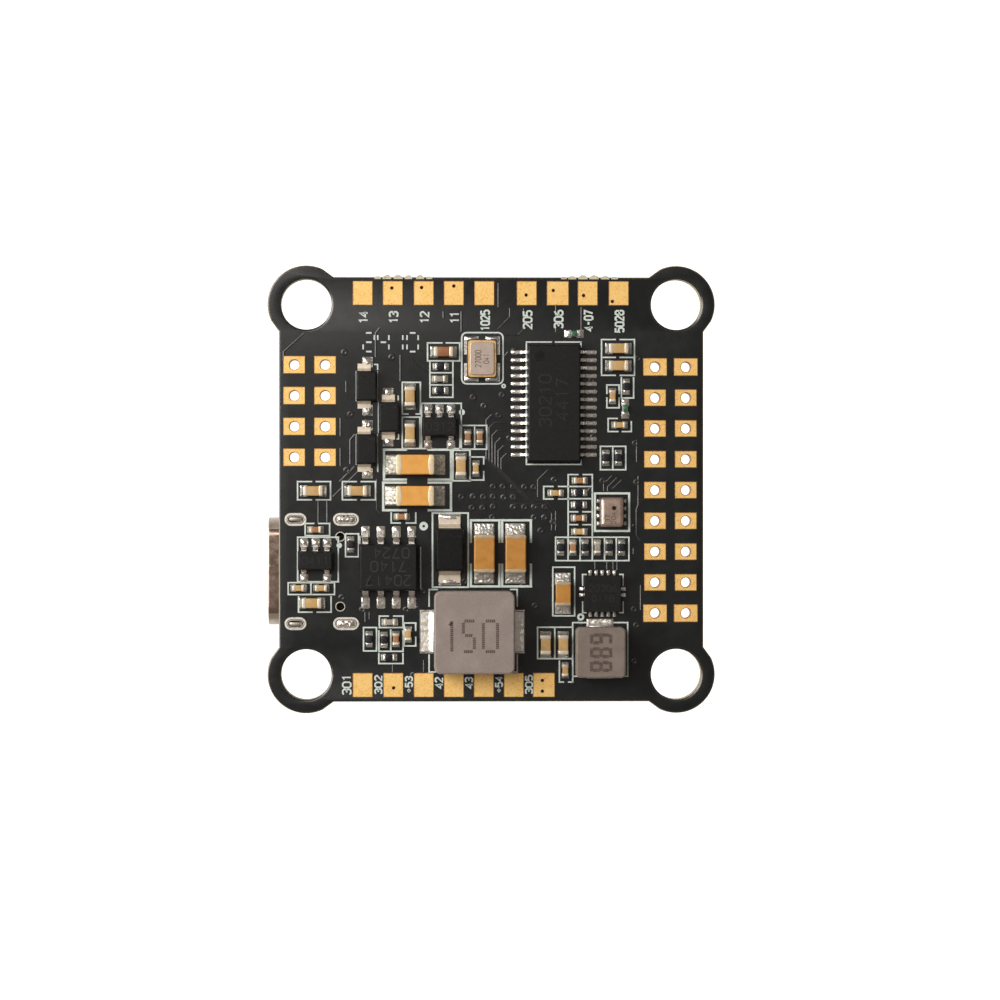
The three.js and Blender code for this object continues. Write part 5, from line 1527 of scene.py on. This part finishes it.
def barometer():
    p = Piece("barometer_can")
    pl = up(9.91, -1.88, 0)
    for s in (1, -1):
        for q in row(4, 0.62):
            pads_for(p, pl, [(min(s * 0.72, s * 1.22), max(s * 0.72, s * 1.22), q - 0.16, q + 0.16)])
            p.put(moved(fillet(0.22, 0.30, 0.24, seed=q * 7 + s, foot=0.05, rough=0.03, nx=5, ny=5, lip=0.06), x=s * 0.985, y=q, z=PAD - 0.01, turn=0 if s > 0 else 180), "solder", pl)
    p.put(soft_block(rect(-1.0, 1.0, -1.25, 1.25, 0.06, 2), PAD, 0.32, 0.02, 0.02), "base", pl)
    body = rect(-0.95, 0.95, -1.2, 1.2, 0.26, 6)
    hole = circle(0.17, 0.34, 0.17, 18)
    p.put(soft_block(body, 0.30, 0.935, 0.27, 0.0, 8), "rose", pl)
    p.put(slab(inset(body, 0.25), [hole], 0.92, 0.95, top=(0.03, 0.015), hole_top=0.012), "rose", pl)
    # a near-black disc in the vent hole: painted shade of the hole
    p.put(lathe([(0, 0.915), (0.18, 0.915), (0.18, 0.940), (0, 0.937)], 18, 0.17, 0.34), "hole_shade", pl)
    marks(p, pl, [("204", 0.13, -0.48, 0.36, 90), ("37", -0.36, -0.52, 0.36, 90)], 0.95, mat="ferrite_ink", width=0.06)
    p.make(replaces=["barometer"])


barometer()


def chip_piece(name, node, place, kind, size, cap, seed, body, ext, climb=0.7, pad_w=None, cap_mat="cap", power=1.9, wet="solder", bow=0.05):
    p = Piece(name)
    two_terminal(p, place, size[0], size[1], size[2], cap, body, seed, ext=ext, kind=kind, climb=climb, pad_w=pad_w, cap_mat=cap_mat, power=power, wet=wet, bow=bow)
    p.make(replaces=[node] if node else ())


for k, (x, y, turn, body) in enumerate(((-6.28, 2.03, 0, "orange"), (-6.29, -0.54, 0, "orange"), (-0.6, -5.28, 90, "ochre"), (1.98, -5.28, 90, "ochre"))):
    chip_piece("block_1206_" + "abcd"[k], "capacitor_1206_" + "abcd"[k], up(x, y, turn), "ceramic", (3.15, 1.65 if k < 2 else 1.72, 1.55), 0.40 if k < 2 else 0.30, 60 + k * 3, body, 0.86, 0.34, 1.60, "creamcap" if k < 2 else "warmcap", 1.3, "dull" if k < 2 else "crumple", 0.09 if k < 2 else 0.04)
chip_piece("block_0805", "capacitor_0805", up(5.9, -8.58, 90), "ceramic", (2.0, 1.25, 1.2), 0.26, 75, "ochre", 0.66, 0.42, 1.26, "warmcap", 1.4, "crumple", 0.05)
for k, (x, y, turn) in enumerate(((-3.95, 11.33, 0), (-6.71, 7.66, 90), (-6.71, 4.62, 90), (-2.51, 1.93, 90), (10.48, 11.62, 0), (10.48, 10.2, 0), (-11.04, -0.13, 0), (-14.67, -0.13, 0), (-14.78, -9.37, 0), (4.47, -12.79, 90), (5.92, -12.79, 90))):
    body = "brown" if k == 0 else "tan"
    chip_piece("block_0603_" + "abcdefghijk"[k], "capacitor_0603_" + "abcdefghijk"[k], up(x, y, turn), "ceramic", (1.6, 0.82, 0.8), 0.31, 80 + k * 2, body, 0.25, 0.66, 0.86)
for k, (x, y, turn) in enumerate(((-1.95, 4.32, 90), (-0.96, 4.32, 90), (-1.28, 1.72, 90), (9.99, 7.7, 90), (10.57, 5.31, 0), (5.3, -0.3, 0), (7.29, 0.73, 0), (7.22, -2.37, 0), (7.25, -3.48, 0))):
    chip_piece("block_0402_" + "abcdefghi"[k], "capacitor_0402_" + "abcdefghi"[k], up(x, y, turn), "ceramic", (1.0, 0.5, 0.5), 0.25, 110 + k * 2, "rust" if k in (0, 1, 5 + 1, 7) else "tan", 0.13, 0.7, 0.54)
for k, (x, y, turn) in enumerate(((-4.18, 10.12, 0), (-4.21, 8.15, 0), (11.14, 8.48, 90), (9.43, 2.61, 90), (10.48, 2.61, 90), (7.25, -0.26, 0), (7.22, -1.27, 0))):
    chip_piece("film_0402_" + "abcdefg"[k], "resistor_0402_" + "abcdefg"[k], up(x, y, turn), "resistor", (1.0, 0.5, 0.35), 0.22, 130 + k * 2, "overcoat", 0.13, 0.8, 0.54, "solder")
chip_piece("bead_0402_body", "bead_0402", up(-4.25, 9.1, 0), "ceramic", (1.0, 0.5, 0.5), 0.25, 150, "grey", 0.13, 0.7, 0.54)
EXTRA_0402 = [("R", 5.71, -4.79, 90), ("C", 6.72, -4.79, 90), ("R", 7.72, -4.79, 90), ("G", 8.74, -4.79, 90), ("R", 9.71, -4.79, 90), ("R", 10.74, -4.79, 90), ("C", 6.09, -14.91, 90), ("C", -7.39, -2.25, 0), ("C", -14.48, -3.32, 0), ("R", -11.59, -4.53, 90), ("C", -15.88, -8.13, 0), ("C", -14.01, -8.13, 0), ("G", -8.38, -10.94, 0), ("R", -10.07, -12.33, 90), ("R", -8.84, -12.39, 90), ("C", -7.87, -12.33, 90), ("C", -6.87, -11.95, 90), ("R", -8.44, -13.84, 0)]
for k, (c, x, y, turn) in enumerate(EXTRA_0402):
    body = {"R": "overcoat", "C": "rust" if k in (1, 7, 8, 15) else "tan", "G": "grey"}[c]
    chip_piece("small_0402_%02d" % (k + 1), None, up(x, y, turn), "resistor" if c == "R" else "ceramic", (1.0, 0.5, 0.35 if c == "R" else 0.5), 0.22 if c == "R" else 0.25, 160 + k * 2, body, 0.13, 0.75, 0.54, "solder" if c == "R" else "cap")


def lamp(name, node, place, L, W, H, cap, seed, lens, ext=0.26):
    p = Piece(name)
    for s in (1, -1):
        a, b = sorted((s * (L / 2 - cap - 0.04), s * (L / 2 + ext + 0.04)))
        pads_for(p, place, [(a, b, -W / 2 - 0.07, W / 2 + 0.07)])
        p.put(moved(fillet(ext + 0.03, W + 0.08, H * 0.42, seed=seed + s, foot=0.05, power=1.8, rough=0.04, nx=7, ny=7, lip=0.1), x=s * (L / 2 - 0.012), z=PAD - 0.01, turn=0 if s > 0 else 180), "solder", place)
        a, b = sorted((s * (L / 2 - cap), s * L / 2))
        p.put(rbox(a, b, -W / 2, W / 2, PAD, H * 0.42, r=0.03), "tin", place)
    p.put(rbox(-L / 2 + 0.03, L / 2 - 0.03, -W / 2 + 0.015, W / 2 - 0.015, PAD + 0.01, H * 0.36, r=0.015), "alumina", place)
    p.put(soft_block(rect(-L / 2 + cap, L / 2 - cap, -W / 2 + 0.03, W / 2 - 0.03, 0.05, 3), H * 0.34, H, 0.10 * W, 0), lens, place)
    p.make(replaces=[node])


lamp("lamp_a_body", "lamp_0402_a", up(6.81, 12.83, 0), 1.0, 0.5, 0.45, 0.24, 201, "green")
lamp("lamp_b_body", "lamp_0402_b", up(11.04, 6.65, 90), 1.0, 0.5, 0.45, 0.24, 203, "green")

# ------------------------------------------------------------------ socket
U = dict(y=USB_Y, front=-18.45, depth=7.3, width=8.94, height=3.16, wall=0.3, mid=-3.18)
REAR = U["front"] + U["depth"]


def c_section(width, height, wall, seam, gap=0.05, n=16):
    """The shell's section as one loop, split at a seam in its upper side: points (y, z)."""
    def half_turns(w, h):
        r, a = h / 2, w / 2 - h / 2
        pts = [(a, r)]
        pts += [(a + r * math.sin(math.pi * i / n), r * math.cos(math.pi * i / n)) for i in range(1, n)]
        pts += [(a, -r), (-a, -r)]
        pts += [(-a - r * math.sin(math.pi * i / n), -r * math.cos(math.pi * i / n)) for i in range(1, n)]
        pts += [(-a, r)]
        return pts
    o = half_turns(width, height)
    i = half_turns(width - 2 * wall, height - 2 * wall)
    r, ri = height / 2, height / 2 - wall
    return [(seam + gap / 2, r)] + o + [(seam - gap / 2, r)] + [(seam - gap / 2, ri)] + i[::-1] + [(seam + gap / 2, ri)]


def extrude_x(loop, xs, insets, y, z):
    """A solid swept along X through the given stations. The loop is (y, z)."""
    v, f, n = [], [], len(loop)
    for x, d in zip(xs, insets):
        q = inset(loop[::-1], d)[::-1] if d else loop
        v += [(x, y + a, z + b) for a, b in q]
    for k in range(len(xs) - 1):
        for i in range(n):
            j = (i + 1) % n
            f.append((k * n + i, k * n + j, (k + 1) * n + j, (k + 1) * n + i))
    for k, flip in ((0, True), (len(xs) - 1, False)):
        for t in tess([[(a, b) for a, b in loop]]):
            q = tuple(k * n + i for i in t)
            f.append(tuple(reversed(q)) if flip else q)
    return v, f


def usb():
    p = Piece("usb_shell_body")
    loop = c_section(U["width"], U["height"], U["wall"], 0.46)
    v, f = extrude_x(loop, [U["front"], U["front"] + 0.03, U["front"] + 0.08, REAR - 0.05, REAR], [0.07, 0.025, 0, 0, 0.03], U["y"], U["mid"])
    base, wings = len(p.v), []
    # the shell body takes the brown-tinted metal, a painted reflection
    p.put((v, f), "steel")
    # faces on the curved ends take the paler copy, a painted reflection of the white floor
    p.mats.append("rough_pale_reflection_steel")
    for i, q in enumerate(f):
        my = sum(v[k][1] for k in q) / len(q) - U["y"]
        if abs(my) > U["width"] / 2 - 1.12:
            p.m[i] = 1
    # four tabs turned up through the board
    for x, y, l, w in SLOTS:
        s = 1 if y > U["y"] else -1
        hl = l / 2 - 0.15
        ya, yb = sorted((y - s * 0.12, y + s * 0.18))
        # the tab tops take the same paler copy, a painted reflection
        p.put(rbox(x - hl, x + hl, ya, yb, U["mid"] - 0.2, 0.10 if l > 1.5 else -0.12, r=0.05), "rough_pale_reflection_steel")
    # two sprung windows pressed in each broad side
    for z, s in ((U["mid"] + U["height"] / 2 - 0.02, 1), (U["mid"] - U["height"] / 2 + 0.02, -1)):
        for dy in (-2.1, 2.1):
            a, b = sorted((z, z + s * 0.05))
            p.put(slab(rect(U["front"] + 1.6, U["front"] + 4.2, U["y"] + dy - 0.5, U["y"] + dy + 0.5, 0.2, 3), [rect(U["front"] + 1.75, U["front"] + 4.05, U["y"] + dy - 0.36, U["y"] + dy + 0.36, 0.14, 3)], a, b, top=0.015), "steel")
    p.make(replaces=["usb_shell"], angle=40)

    p = Piece("usb_tongue")
    fill_w, fill_h = U["width"] - 2 * U["wall"] - 0.06, U["height"] - 2 * U["wall"] - 0.06
    r, a = fill_h / 2, fill_w / 2 - fill_h / 2
    loop = [(a + r * math.sin(math.pi * i / 12), r * math.cos(math.pi * i / 12)) for i in range(13)] + [(-a - r * math.sin(math.pi * i / 12), -r * math.cos(math.pi * i / 12)) for i in range(13)]
    v, f = [], []
    xs = [U["front"] + 5.0, U["front"] + 5.05, REAR - 0.02]
    n = len(loop)
    for x, d in zip(xs, (0.06, 0.0, 0.0)):
        q = inset(loop[::-1], d)[::-1] if d else loop
        v += [(x, U["y"] + yy, U["mid"] + zz) for yy, zz in q]
    for k in range(2):
        for i in range(n):
            j = (i + 1) % n
            f.append((k * n + i, k * n + j, (k + 1) * n + j, (k + 1) * n + i))
    f.append(tuple(range(n - 1, -1, -1)))
    f.append(tuple(2 * n + i for i in range(n)))
    p.put((v, f), "black")
    p.put(rbox(U["front"] + 0.85, U["front"] + 5.2, U["y"] - 3.35, U["y"] + 3.35, U["mid"] - 0.33, U["mid"] + 0.33, r=0.1, seg=3), "black")
    p.put(rbox(U["front"] + 4.4, U["front"] + 5.2, U["y"] - 3.6, U["y"] + 3.6, U["mid"] - 0.6, U["mid"] + 0.6, r=0.06), "black")
    # side rails in the brown-tinted metal, a painted reflection
    p.put(rbox(U["front"] + 1.0, U["front"] + 4.9, U["y"] - 3.42, U["y"] - 3.28, U["mid"] - 0.12, U["mid"] + 0.12, r=0.03), "steel")
    p.put(rbox(U["front"] + 1.0, U["front"] + 4.9, U["y"] + 3.28, U["y"] + 3.42, U["mid"] - 0.12, U["mid"] + 0.12, r=0.03), "steel")
    for s in (1, -1):
        for i in range(12):
            y = U["y"] + (i - 5.5) * 0.5
            x0 = U["front"] + (1.25 if i in (0, 3, 8, 11) else 1.5)
            zc = U["mid"] + s * 0.33
            p.put(rbox(x0, U["front"] + 4.5, y - 0.125, y + 0.125, zc - 0.03, zc + 0.03, r=0.02, seg=1), "gold")
    for i in range(12):
        y = U["y"] + (i - 5.5) * 0.5
        path = lead(0.24, 0.72, 0.52, 0.12, shoulder=0.05, knee=0.2, lift=PAD)
        pl = FLIP @ Matrix.Translation((REAR - 0.02, -y, 0))
        p.put(path, "tin", pl)
        p.put(slab(rect(0.18, 1.25, -0.15, 0.15, 0.04, 2), [], -0.01, PAD, top=0.012), "solder", pl)
        p.put(moved(mound(0.2, 1.2, -0.13, 0.13, 0.09, seed=i * 2.3, nx=7, ny=4, foot=0.02, rough=0.02), z=PAD - 0.01), "solder", pl)
    for x, y in PEGS:
        p.put(lathe([(0, -1.25), (0.24, -1.25), (0.285, -1.17), (0.285, -1.68), (0, -1.68)][::-1], 16, x, y), "black")
    p.make(replaces=["usb_insulator"], angle=40)


usb()


# ------------------------------------------------------------------ underside
def quad_package():
    p = Piece("processor_package")
    pl = under(0.5, 2.6)
    xs = row(16, 0.5)
    side, H, stand, reach = 10.0, 1.5, 0.1, 1.0
    root = stand + (H - stand) * 0.5
    for k in range(4):
        q = pl @ Matrix.Rotation(math.radians(90 * k), 4, "Z")
        gull_row(p, q, xs, side / 2 - 0.02, root, 0.22, reach + 0.02, 0.13, 1, 300 + 20 * k, pad_w=0.28, toe=0.28)
    p.put(moulded(side, side, H - stand, 0.14, stand, r=0.08), "epoxy", pl)
    dimple(p, pl, -3.9, 3.9, H, 0.45)
    marks(p, pl, [("10618", 0, 1.5, 1.15, 0), ("7031 48", 0, -0.1, 1.0, 0), ("240719", 0, -1.6, 1.0, 0)], H, width=0.10)
    p.make(replaces=["processor"])


quad_package()


def motion():
    p = Piece("motion_sensor_package")
    pl = under(9.3, -4.6)
    for k in range(4):
        q = pl @ Matrix.Rotation(math.radians(90 * k), 4, "Z")
        for i, x in enumerate(row(6, 0.5)):
            pads_for(p, q, [(x - 0.14, x + 0.14, 1.55, 2.32)])
            p.put(moved(fillet(0.28, 0.27, 0.16, seed=k * 7 + i, foot=0.03, rough=0.02, nx=5, ny=4, lip=0.06), x=x, y=1.99, z=PAD - 0.01, turn=90), "solder", q)
    p.put(soft_block(rect(-2, 2, -2, 2, 0.04, 2), PAD + 0.005, 0.9, 0.04, 0.02), "epoxy", pl)
    dimple(p, pl, -1.5, 1.5, 0.9, 0.2)
    marks(p, pl, [("4108", 0, 0.45, 0.62, 0), ("1721", 0, -0.5, 0.62, 0)], 0.9, width=0.065)
    p.make(replaces=["motion_sensor"])


motion()
crystal("processor_crystal_can", "processor_crystal", under(-8.6, 5.2, 90), seed=9, text="8000")


def _soic_under():
    p = Piece("log_memory_package")
    pl = under(1.6, -9.3)
    xs = row(4, 1.27)
    gull_package(p, pl, 4.9, 3.9, 1.55, 0.15, 1.27, xs, xs, 0.42, 1.1, 0.16, 330, t=0.2, toe=0.32)
    dimple(p, pl, -1.75, -1.2, 1.55, 0.24)
    marks(p, pl, [("30812", 0.0, 0.6, 0.85, 0), ("0724", 0.1, -0.6, 0.85, 0)], 1.55, width=0.09)
    p.make(replaces=["log_memory"])


_soic_under()
sot("regulator_3v3_package", "regulator_3v3", under(-4.6, -9.6), 340, "3300")


def under_lamp(name, node, x, y, turn, seed, lens):
    p = Piece(name)
    place, L, W, H, cap = under(x, y, turn), 1.6, 0.82, 0.6, 0.32
    for s in (1, -1):
        a, b = sorted((s * (L / 2 - cap - 0.04), s * (L / 2 + 0.38)))
        pads_for(p, place, [(a, b, -W / 2 - 0.07, W / 2 + 0.07)])
        p.put(moved(fillet(0.36, W + 0.06, H * 0.4, seed=seed + s, foot=0.05, power=1.8, rough=0.05, nx=7, ny=8, lip=0.1), x=s * (L / 2 - 0.012), z=PAD - 0.01, turn=0 if s > 0 else 180), "solder", place)
        a, b = sorted((s * (L / 2 - cap), s * L / 2))
        p.put(rbox(a, b, -W / 2, W / 2, PAD, H * 0.4, r=0.03), "tin", place)
    p.put(rbox(-L / 2 + 0.04, L / 2 - 0.04, -W / 2 + 0.015, W / 2 - 0.015, PAD + 0.01, H * 0.34, r=0.015), "alumina", place)
    p.put(soft_block(rect(-L / 2 + cap, L / 2 - cap, -W / 2 + 0.05, W / 2 - 0.05, 0.08, 3), H * 0.32, H, 0.12, 0), lens, place)
    p.make(replaces=[node])


under_lamp("status_lamp_a_body", "status_lamp_a", -9.2, -3.6, 90, 350, "clear")
under_lamp("status_lamp_b_body", "status_lamp_b", -9.2, -6.4, 90, 352, "green")


def boot_button():
    p = Piece("boot_button_case")
    pl = under(-8.4, -12.7)
    L, W, H = 3.0, 2.6, 1.3
    loop = rect(-L / 2, L / 2, -W / 2, W / 2, 0.22, 3)
    hole = circle(0, 0, 0.75, 32)
    v, up_f, down_f, wall = plate(loop, [hole], 0.2, H - 0.14, top=0.04, hole_top=0.0)
    p.put((v, up_f + down_f + wall), "black", pl)
    p.put(slab(inset(loop, -0.0), [], PAD + 0.02, 0.21), "black", pl)
    # the ring is in the brown-tinted metal, a painted reflection
    p.put(slab(inset(loop, 0.10), [circle(0, 0, 0.78, 32)], H - 0.15, H, top=0.035, hole_top=0.03), "steel", pl)
    for sx in (1, -1):
        for sy in (1, -1):
            p.put(lathe([(0, H - 0.02), (0.15, H - 0.02), (0.14, H + 0.02), (0.08, H + 0.045), (0, H + 0.05)], 14, sx * 1.1, sy * 0.9), "black", pl)
    for s in (1, -1):
        a, b = sorted((s * (L / 2 - 0.1), s * (L / 2 + 0.62)))
        pads_for(p, pl, [(a, b, -1.0, 1.0)])
        a, b = sorted((s * (L / 2 - 0.05), s * (L / 2 + 0.3)))
        p.put(rbox(a, b, -0.85, 0.85, PAD, 0.16, r=0.03), "tin", pl)
        m = mound(0.1, 0.58, -0.95, 0.95, 0.13, seed=360 + s, nx=8, ny=14, foot=0.03, rough=0.06)
        p.put(moved(m, x=s * L / 2, z=PAD - 0.01, turn=0 if s > 0 else 180), "solder", pl)
    p.make(replaces=["boot_button_body"])
    q = Piece("boot_button_cap")
    top, low, r = H + 0.3, H - 0.75, 0.65
    q.put(lathe([(0, low), (r - 0.05, low), (r, low + 0.05), (r, top - 0.10), (r - 0.02, top - 0.05), (r - 0.06, top - 0.015), (r - 0.12, top), (r - 0.22, top - 0.012), (r - 0.30, top - 0.035), (0, top - 0.045)], 36), "cream", pl)
    q.make("boot_button", replaces=["boot_button_plunger"], angle=40)


boot_button()

UNDER_0402 = [("C", -6.9, 0.4, 0), ("C", -7.6, 1.9, 90), ("C", 7.4, 7.2, 90), ("C", 8.6, 7.2, 90), ("R", 9.8, 7.2, 90), ("C", -5.0, 10.6, 0), ("C", -6.9, 8.4, 0), ("R", -1.2, 10.6, 90), ("R", 0.2, 10.6, 90), ("C", 1.6, 10.6, 90), ("C", 9.9, -1.2, 0), ("C", 5.6, -6.4, 0), ("R", 5.6, -7.6, 0), ("C", -4.2, -6.6, 0), ("C", -5.0, -12.6, 0), ("R", -7.6, -3.6, 90), ("R", -7.6, -6.4, 90), ("C", 5.8, -10.2, 90), ("R", -10.9, 4.6, 90), ("C", -9.4, 8.6, 90), ("C", -5.6, 12.3, 0), ("R", 4.8, 11.2, 0), ("R", 4.8, 12.4, 0), ("C", 8.0, -8.9, 0), ("R", 9.8, -8.9, 0)]
for n in range(0, len(UNDER_0402), 5):
    p = Piece("under_0402_%d" % (n // 5 + 1))
    for k, (c, x, y, turn) in enumerate(UNDER_0402[n:n + 5]):
        two_terminal(p, under(x, y, turn), 1.0, 0.5, 0.35 if c == "R" else 0.5, 0.24, "overcoat" if c == "R" else "tan", 400 + n + k * 2, ext=0.26, kind="resistor" if c == "R" else "ceramic", pad_w=0.58, climb=0.68)
    p.make()


def under_face():
    ink = Piece("legend_lower")
    cu = Piece("traces_lower")
    holes = Piece("vias_lower")
    z = dict(z0=0.0, z1=0.046)

    def frame_of(x, y, w, h, width=0.13, gap=0.0):
        q = rect(x - w / 2, x + w / 2, y - h / 2, y + h / 2)
        if gap:
            for a, b in (((x - w / 2, y + h / 2), (x - gap, y + h / 2)), ((x + gap, y + h / 2), (x + w / 2, y + h / 2)), ((x - w / 2, y - h / 2), (x - gap, y - h / 2)), ((x + gap, y - h / 2), (x + w / 2, y - h / 2))):
                ink.put(ribbon([a, b], width, 0.0, 0.046), "ink", FLIP)
            for sx in (-1, 1):
                ink.put(ribbon([(x + sx * w / 2, y - h / 2), (x + sx * w / 2, y + h / 2)], width, 0.0, 0.046), "ink", FLIP)
        else:
            ink.put(ribbon(q, width, 0.0, 0.046, closed=True), "ink", FLIP)

    # coordinates below are in the flipped frame, so Y is mirrored
    for sx in (1, -1):
        for sy in (1, -1):
            cx, cy = 0.5 + sx * 6.45, -2.6 + sy * 6.45
            ink.put(ribbon([(cx - sx * 1.1, cy), (cx, cy), (cx, cy - sy * 1.1)], 0.15, 0.0, 0.046), "ink", FLIP)
    ink.put(lathe([(0, 0), (0.2, 0), (0.19, 0.046), (0, 0.046)], 20, 0.5 - 5.9, -2.6 + 6.9 - 0.2), "ink", FLIP)
    frame_of(9.3, 4.6, 5.1, 5.1)
    frame_of(-8.6, -5.2, 3.3, 4.3)
    frame_of(1.6, 9.3, 5.6, 3.0, gap=2.79)
    frame_of(-4.6, 9.6, 3.5, 3.6)
    frame_of(-9.2, 3.6, 1.2, 2.8)
    frame_of(-9.2, 6.4, 1.2, 2.8)
    frame_of(-8.4, 12.7, 4.7, 3.1)
    for c, x, y, turn in UNDER_0402:
        w, h = (1.95, 0.95) if turn == 0 else (0.95, 1.95)
        frame_of(x, -y, w, h, 0.11)
    for k, (x, w) in enumerate(TOP_PADS):
        for path in numerals("2" + str(k + 1) + "0", x, -14.3, 0.72, 90, 0.95, 1.5):
            ink.put(ribbon(path, 0.12, 0.0, 0.046), "ink", FLIP)
    for k, (x, w) in enumerate(LOW_PADS):
        for path in numerals("3" + str(k + 1), x + 1.27, 16.13, 0.72, 90, 0.95, 1.5):
            ink.put(ribbon(path, 0.12, 0.0, 0.046), "ink", FLIP)
    for text, x, y, s in (("102", 11.2, -11.4, 1.1), ("01", 9.2, 13.2, 1.5)):
        for path in numerals(text, x, y, s):
            ink.put(ribbon(path, 0.14, 0.0, 0.046), "ink", FLIP)
    ink.put(ribbon([(11.6, -1.2), (11.6, 1.4)], 0.2, 0.0, 0.046), "ink", FLIP)
    ink.put((([(11.15, 1.3, 0.0), (12.05, 1.3, 0.0), (11.6, 2.2, 0.0), (11.17, 1.31, 0.046), (12.03, 1.31, 0.046), (11.6, 2.17, 0.046)]), [(2, 1, 0), (3, 4, 5), (0, 1, 4, 3), (1, 2, 5, 4), (2, 0, 3, 5)]), "ink", FLIP)
    # runs fanned out from the processor
    r = random.Random(8)
    for k in range(4):
        rot = FLIP @ Matrix.Translation((0.5, -2.6, 0)) @ Matrix.Rotation(math.radians(90 * k), 4, "Z")
        for i, x in enumerate(row(16, 0.5)):
            d = r.uniform(0.5, 1.7) + (0.7 if i % 2 else 0)
            lean = (i - 7.5) * 0.12
            pts = [(x, 6.2), (x, 6.45), (x + lean, 6.45 + max(abs(lean), 0.05)), (x + lean, 6.5 + abs(lean) + d)]
            lim = pts[-1]
            w = rot @ Vector((lim[0], lim[1], 0))
            if abs(w.x) > 12.2 or abs(w.y) > 12.6:
                continue
            clash = False
            for c, ux, uy, turn in UNDER_0402:
                if abs(w.x - ux) < 1.25 and abs(w.y - uy) < 1.25:
                    clash = True
            for bx, by, bw, bh in ((9.3, -4.6, 5.4, 5.4), (-8.6, 5.2, 3.6, 4.6), (1.6, -9.3, 6.0, 6.4), (-4.6, -9.6, 3.8, 3.9), (-9.2, -3.6, 1.6, 3.1), (-9.2, -6.4, 1.6, 3.1)):
                if abs(w.x - bx) < bw / 2 and abs(w.y - by) < bh / 2:
                    clash = True
            if clash:
                continue
            cu.put(ribbon(pts, 0.18, -0.01, 0.028), "trace", rot)
            holes.put(slab(circle(lim[0], lim[1], 0.27, 18), [circle(lim[0], lim[1], 0.1, 10)], -0.01, 0.03, top=0.012, hole_top=0.01), "trace", rot)
            holes.put(lathe([(0, -0.008), (0.10, -0.008), (0.10, 0.012), (0, 0.004)], 10, lim[0], lim[1]), "trace", rot)
    for pts, w in (([(-10.6, -13.6), (-10.6, -10.2), (-9.9, -9.5)], 0.5), ([(-14.2, -7.2), (-12.3, -5.3), (-12.3, 1.5), (-13.1, 2.3)], 0.4), ([(7.9, -14.9), (7.9, -12.0), (11.9, -8.0), (11.9, -4.6)], 0.35), ([(4.3, 14.8), (4.3, 12.6), (5.0, 11.9)], 0.6), ([(-5.5, 14.8), (-5.5, 12.2)], 0.6), ([(12.1, 7.7), (12.1, 9.8), (10.8, 11.1), (7.4, 11.1)], 0.3), ([(1.9, 14.8), (1.9, 12.5)], 0.3), ([(-0.6, 14.8), (-0.6, 12.5)], 0.3)):
        cu.put(ribbon(pts, w, -0.01, 0.028), "trace", FLIP)
    for x, y in EXTRA_VIAS:
        free = all(abs(x - ux) > 0.95 or abs(y - uy) > 0.95 for c, ux, uy, t in UNDER_0402)
        free = free and all(abs(x - bx) > bw / 2 or abs(y - by) > bh / 2 for bx, by, bw, bh in ((0.5, 2.6, 13.2, 13.2), (9.3, -4.6, 5.4, 5.4), (-8.6, 5.2, 3.6, 4.6), (1.6, -9.3, 6.0, 7.4), (-4.6, -9.6, 3.8, 3.9), (-9.2, -5.0, 1.8, 6.1), (-8.4, -12.7, 5.2, 3.6)))
        if free:
            holes.put(slab(circle(x, -y, 0.27, 18), [circle(x, -y, 0.1, 10)], -0.01, 0.03, top=0.012, hole_top=0.01), "trace", FLIP)
            holes.put(lathe([(0, -0.008), (0.10, -0.008), (0.10, 0.012), (0, 0.004)], 10, x, -y), "trace", FLIP)
    ink.make(angle=30)
    cu.make(angle=25)
    holes.make(angle=30)


under_face()

# ------------------------------------------------------------------ floor, light and camera
floor_mesh = bpy.data.meshes.new("floor")
half = 9.0
floor_mesh.from_pydata([(x * half, y * half, z) for z in (-0.46, -0.47) for x, y in ((-1, -1), (1, -1), (1, 1), (-1, 1))], [], [(0, 1, 2, 3), (7, 6, 5, 4), (0, 4, 5, 1), (1, 5, 6, 2), (2, 6, 7, 3), (3, 7, 4, 0)])
floor_mesh.materials.append(M["floor"])
floor_mesh.update()
floor = bpy.data.objects.new("floor", floor_mesh)
scene.collection.objects.link(floor)

world = bpy.data.worlds.new("studio")
scene.world = world
world.use_nodes = True
back = world.node_tree.nodes["Background"]
back.inputs["Color"].default_value = (*WORLD, 1)
back.inputs["Strength"].default_value = 1.0


def softbox(name, at, aim, size, watts, colour=(1.0, 0.97, 0.93), size_y=None):
    d = bpy.data.lights.new(name, "AREA")
    d.shape = "RECTANGLE"
    d.size, d.size_y = size, size_y or size
    d.energy = watts
    d.color = colour
    o = bpy.data.objects.new(name, d)
    o.location = at
    o.rotation_euler = (Vector(aim) - Vector(at)).to_track_quat("-Z", "Y").to_euler()
    scene.collection.objects.link(o)
    return o


for spec in LIGHTS:
    softbox(*spec)

cam_data = bpy.data.cameras.new("camera")
cam_data.lens = 131.0
cam_data.sensor_width = 36.0
cam_data.clip_start = 0.01
cam_data.clip_end = 60.0
cam = bpy.data.objects.new("camera", cam_data)
scene.collection.objects.link(cam)
target = Vector((0.709, -0.874, 0.0)) * MM
eye = target + Vector((-math.sin(math.radians(1.3)), 0.0, math.cos(math.radians(1.3)))) * 300 * MM
zaxis = (eye - target).normalized()
xaxis = Vector((0, 1, 0)).cross(zaxis).normalized()
yaxis = zaxis.cross(xaxis)
cam.matrix_world = Matrix(((xaxis.x, yaxis.x, zaxis.x, eye.x), (xaxis.y, yaxis.y, zaxis.y, eye.y), (xaxis.z, yaxis.z, zaxis.z, eye.z), (0, 0, 0, 1)))
scene.camera = cam
scene.view_settings.view_transform = "Standard"
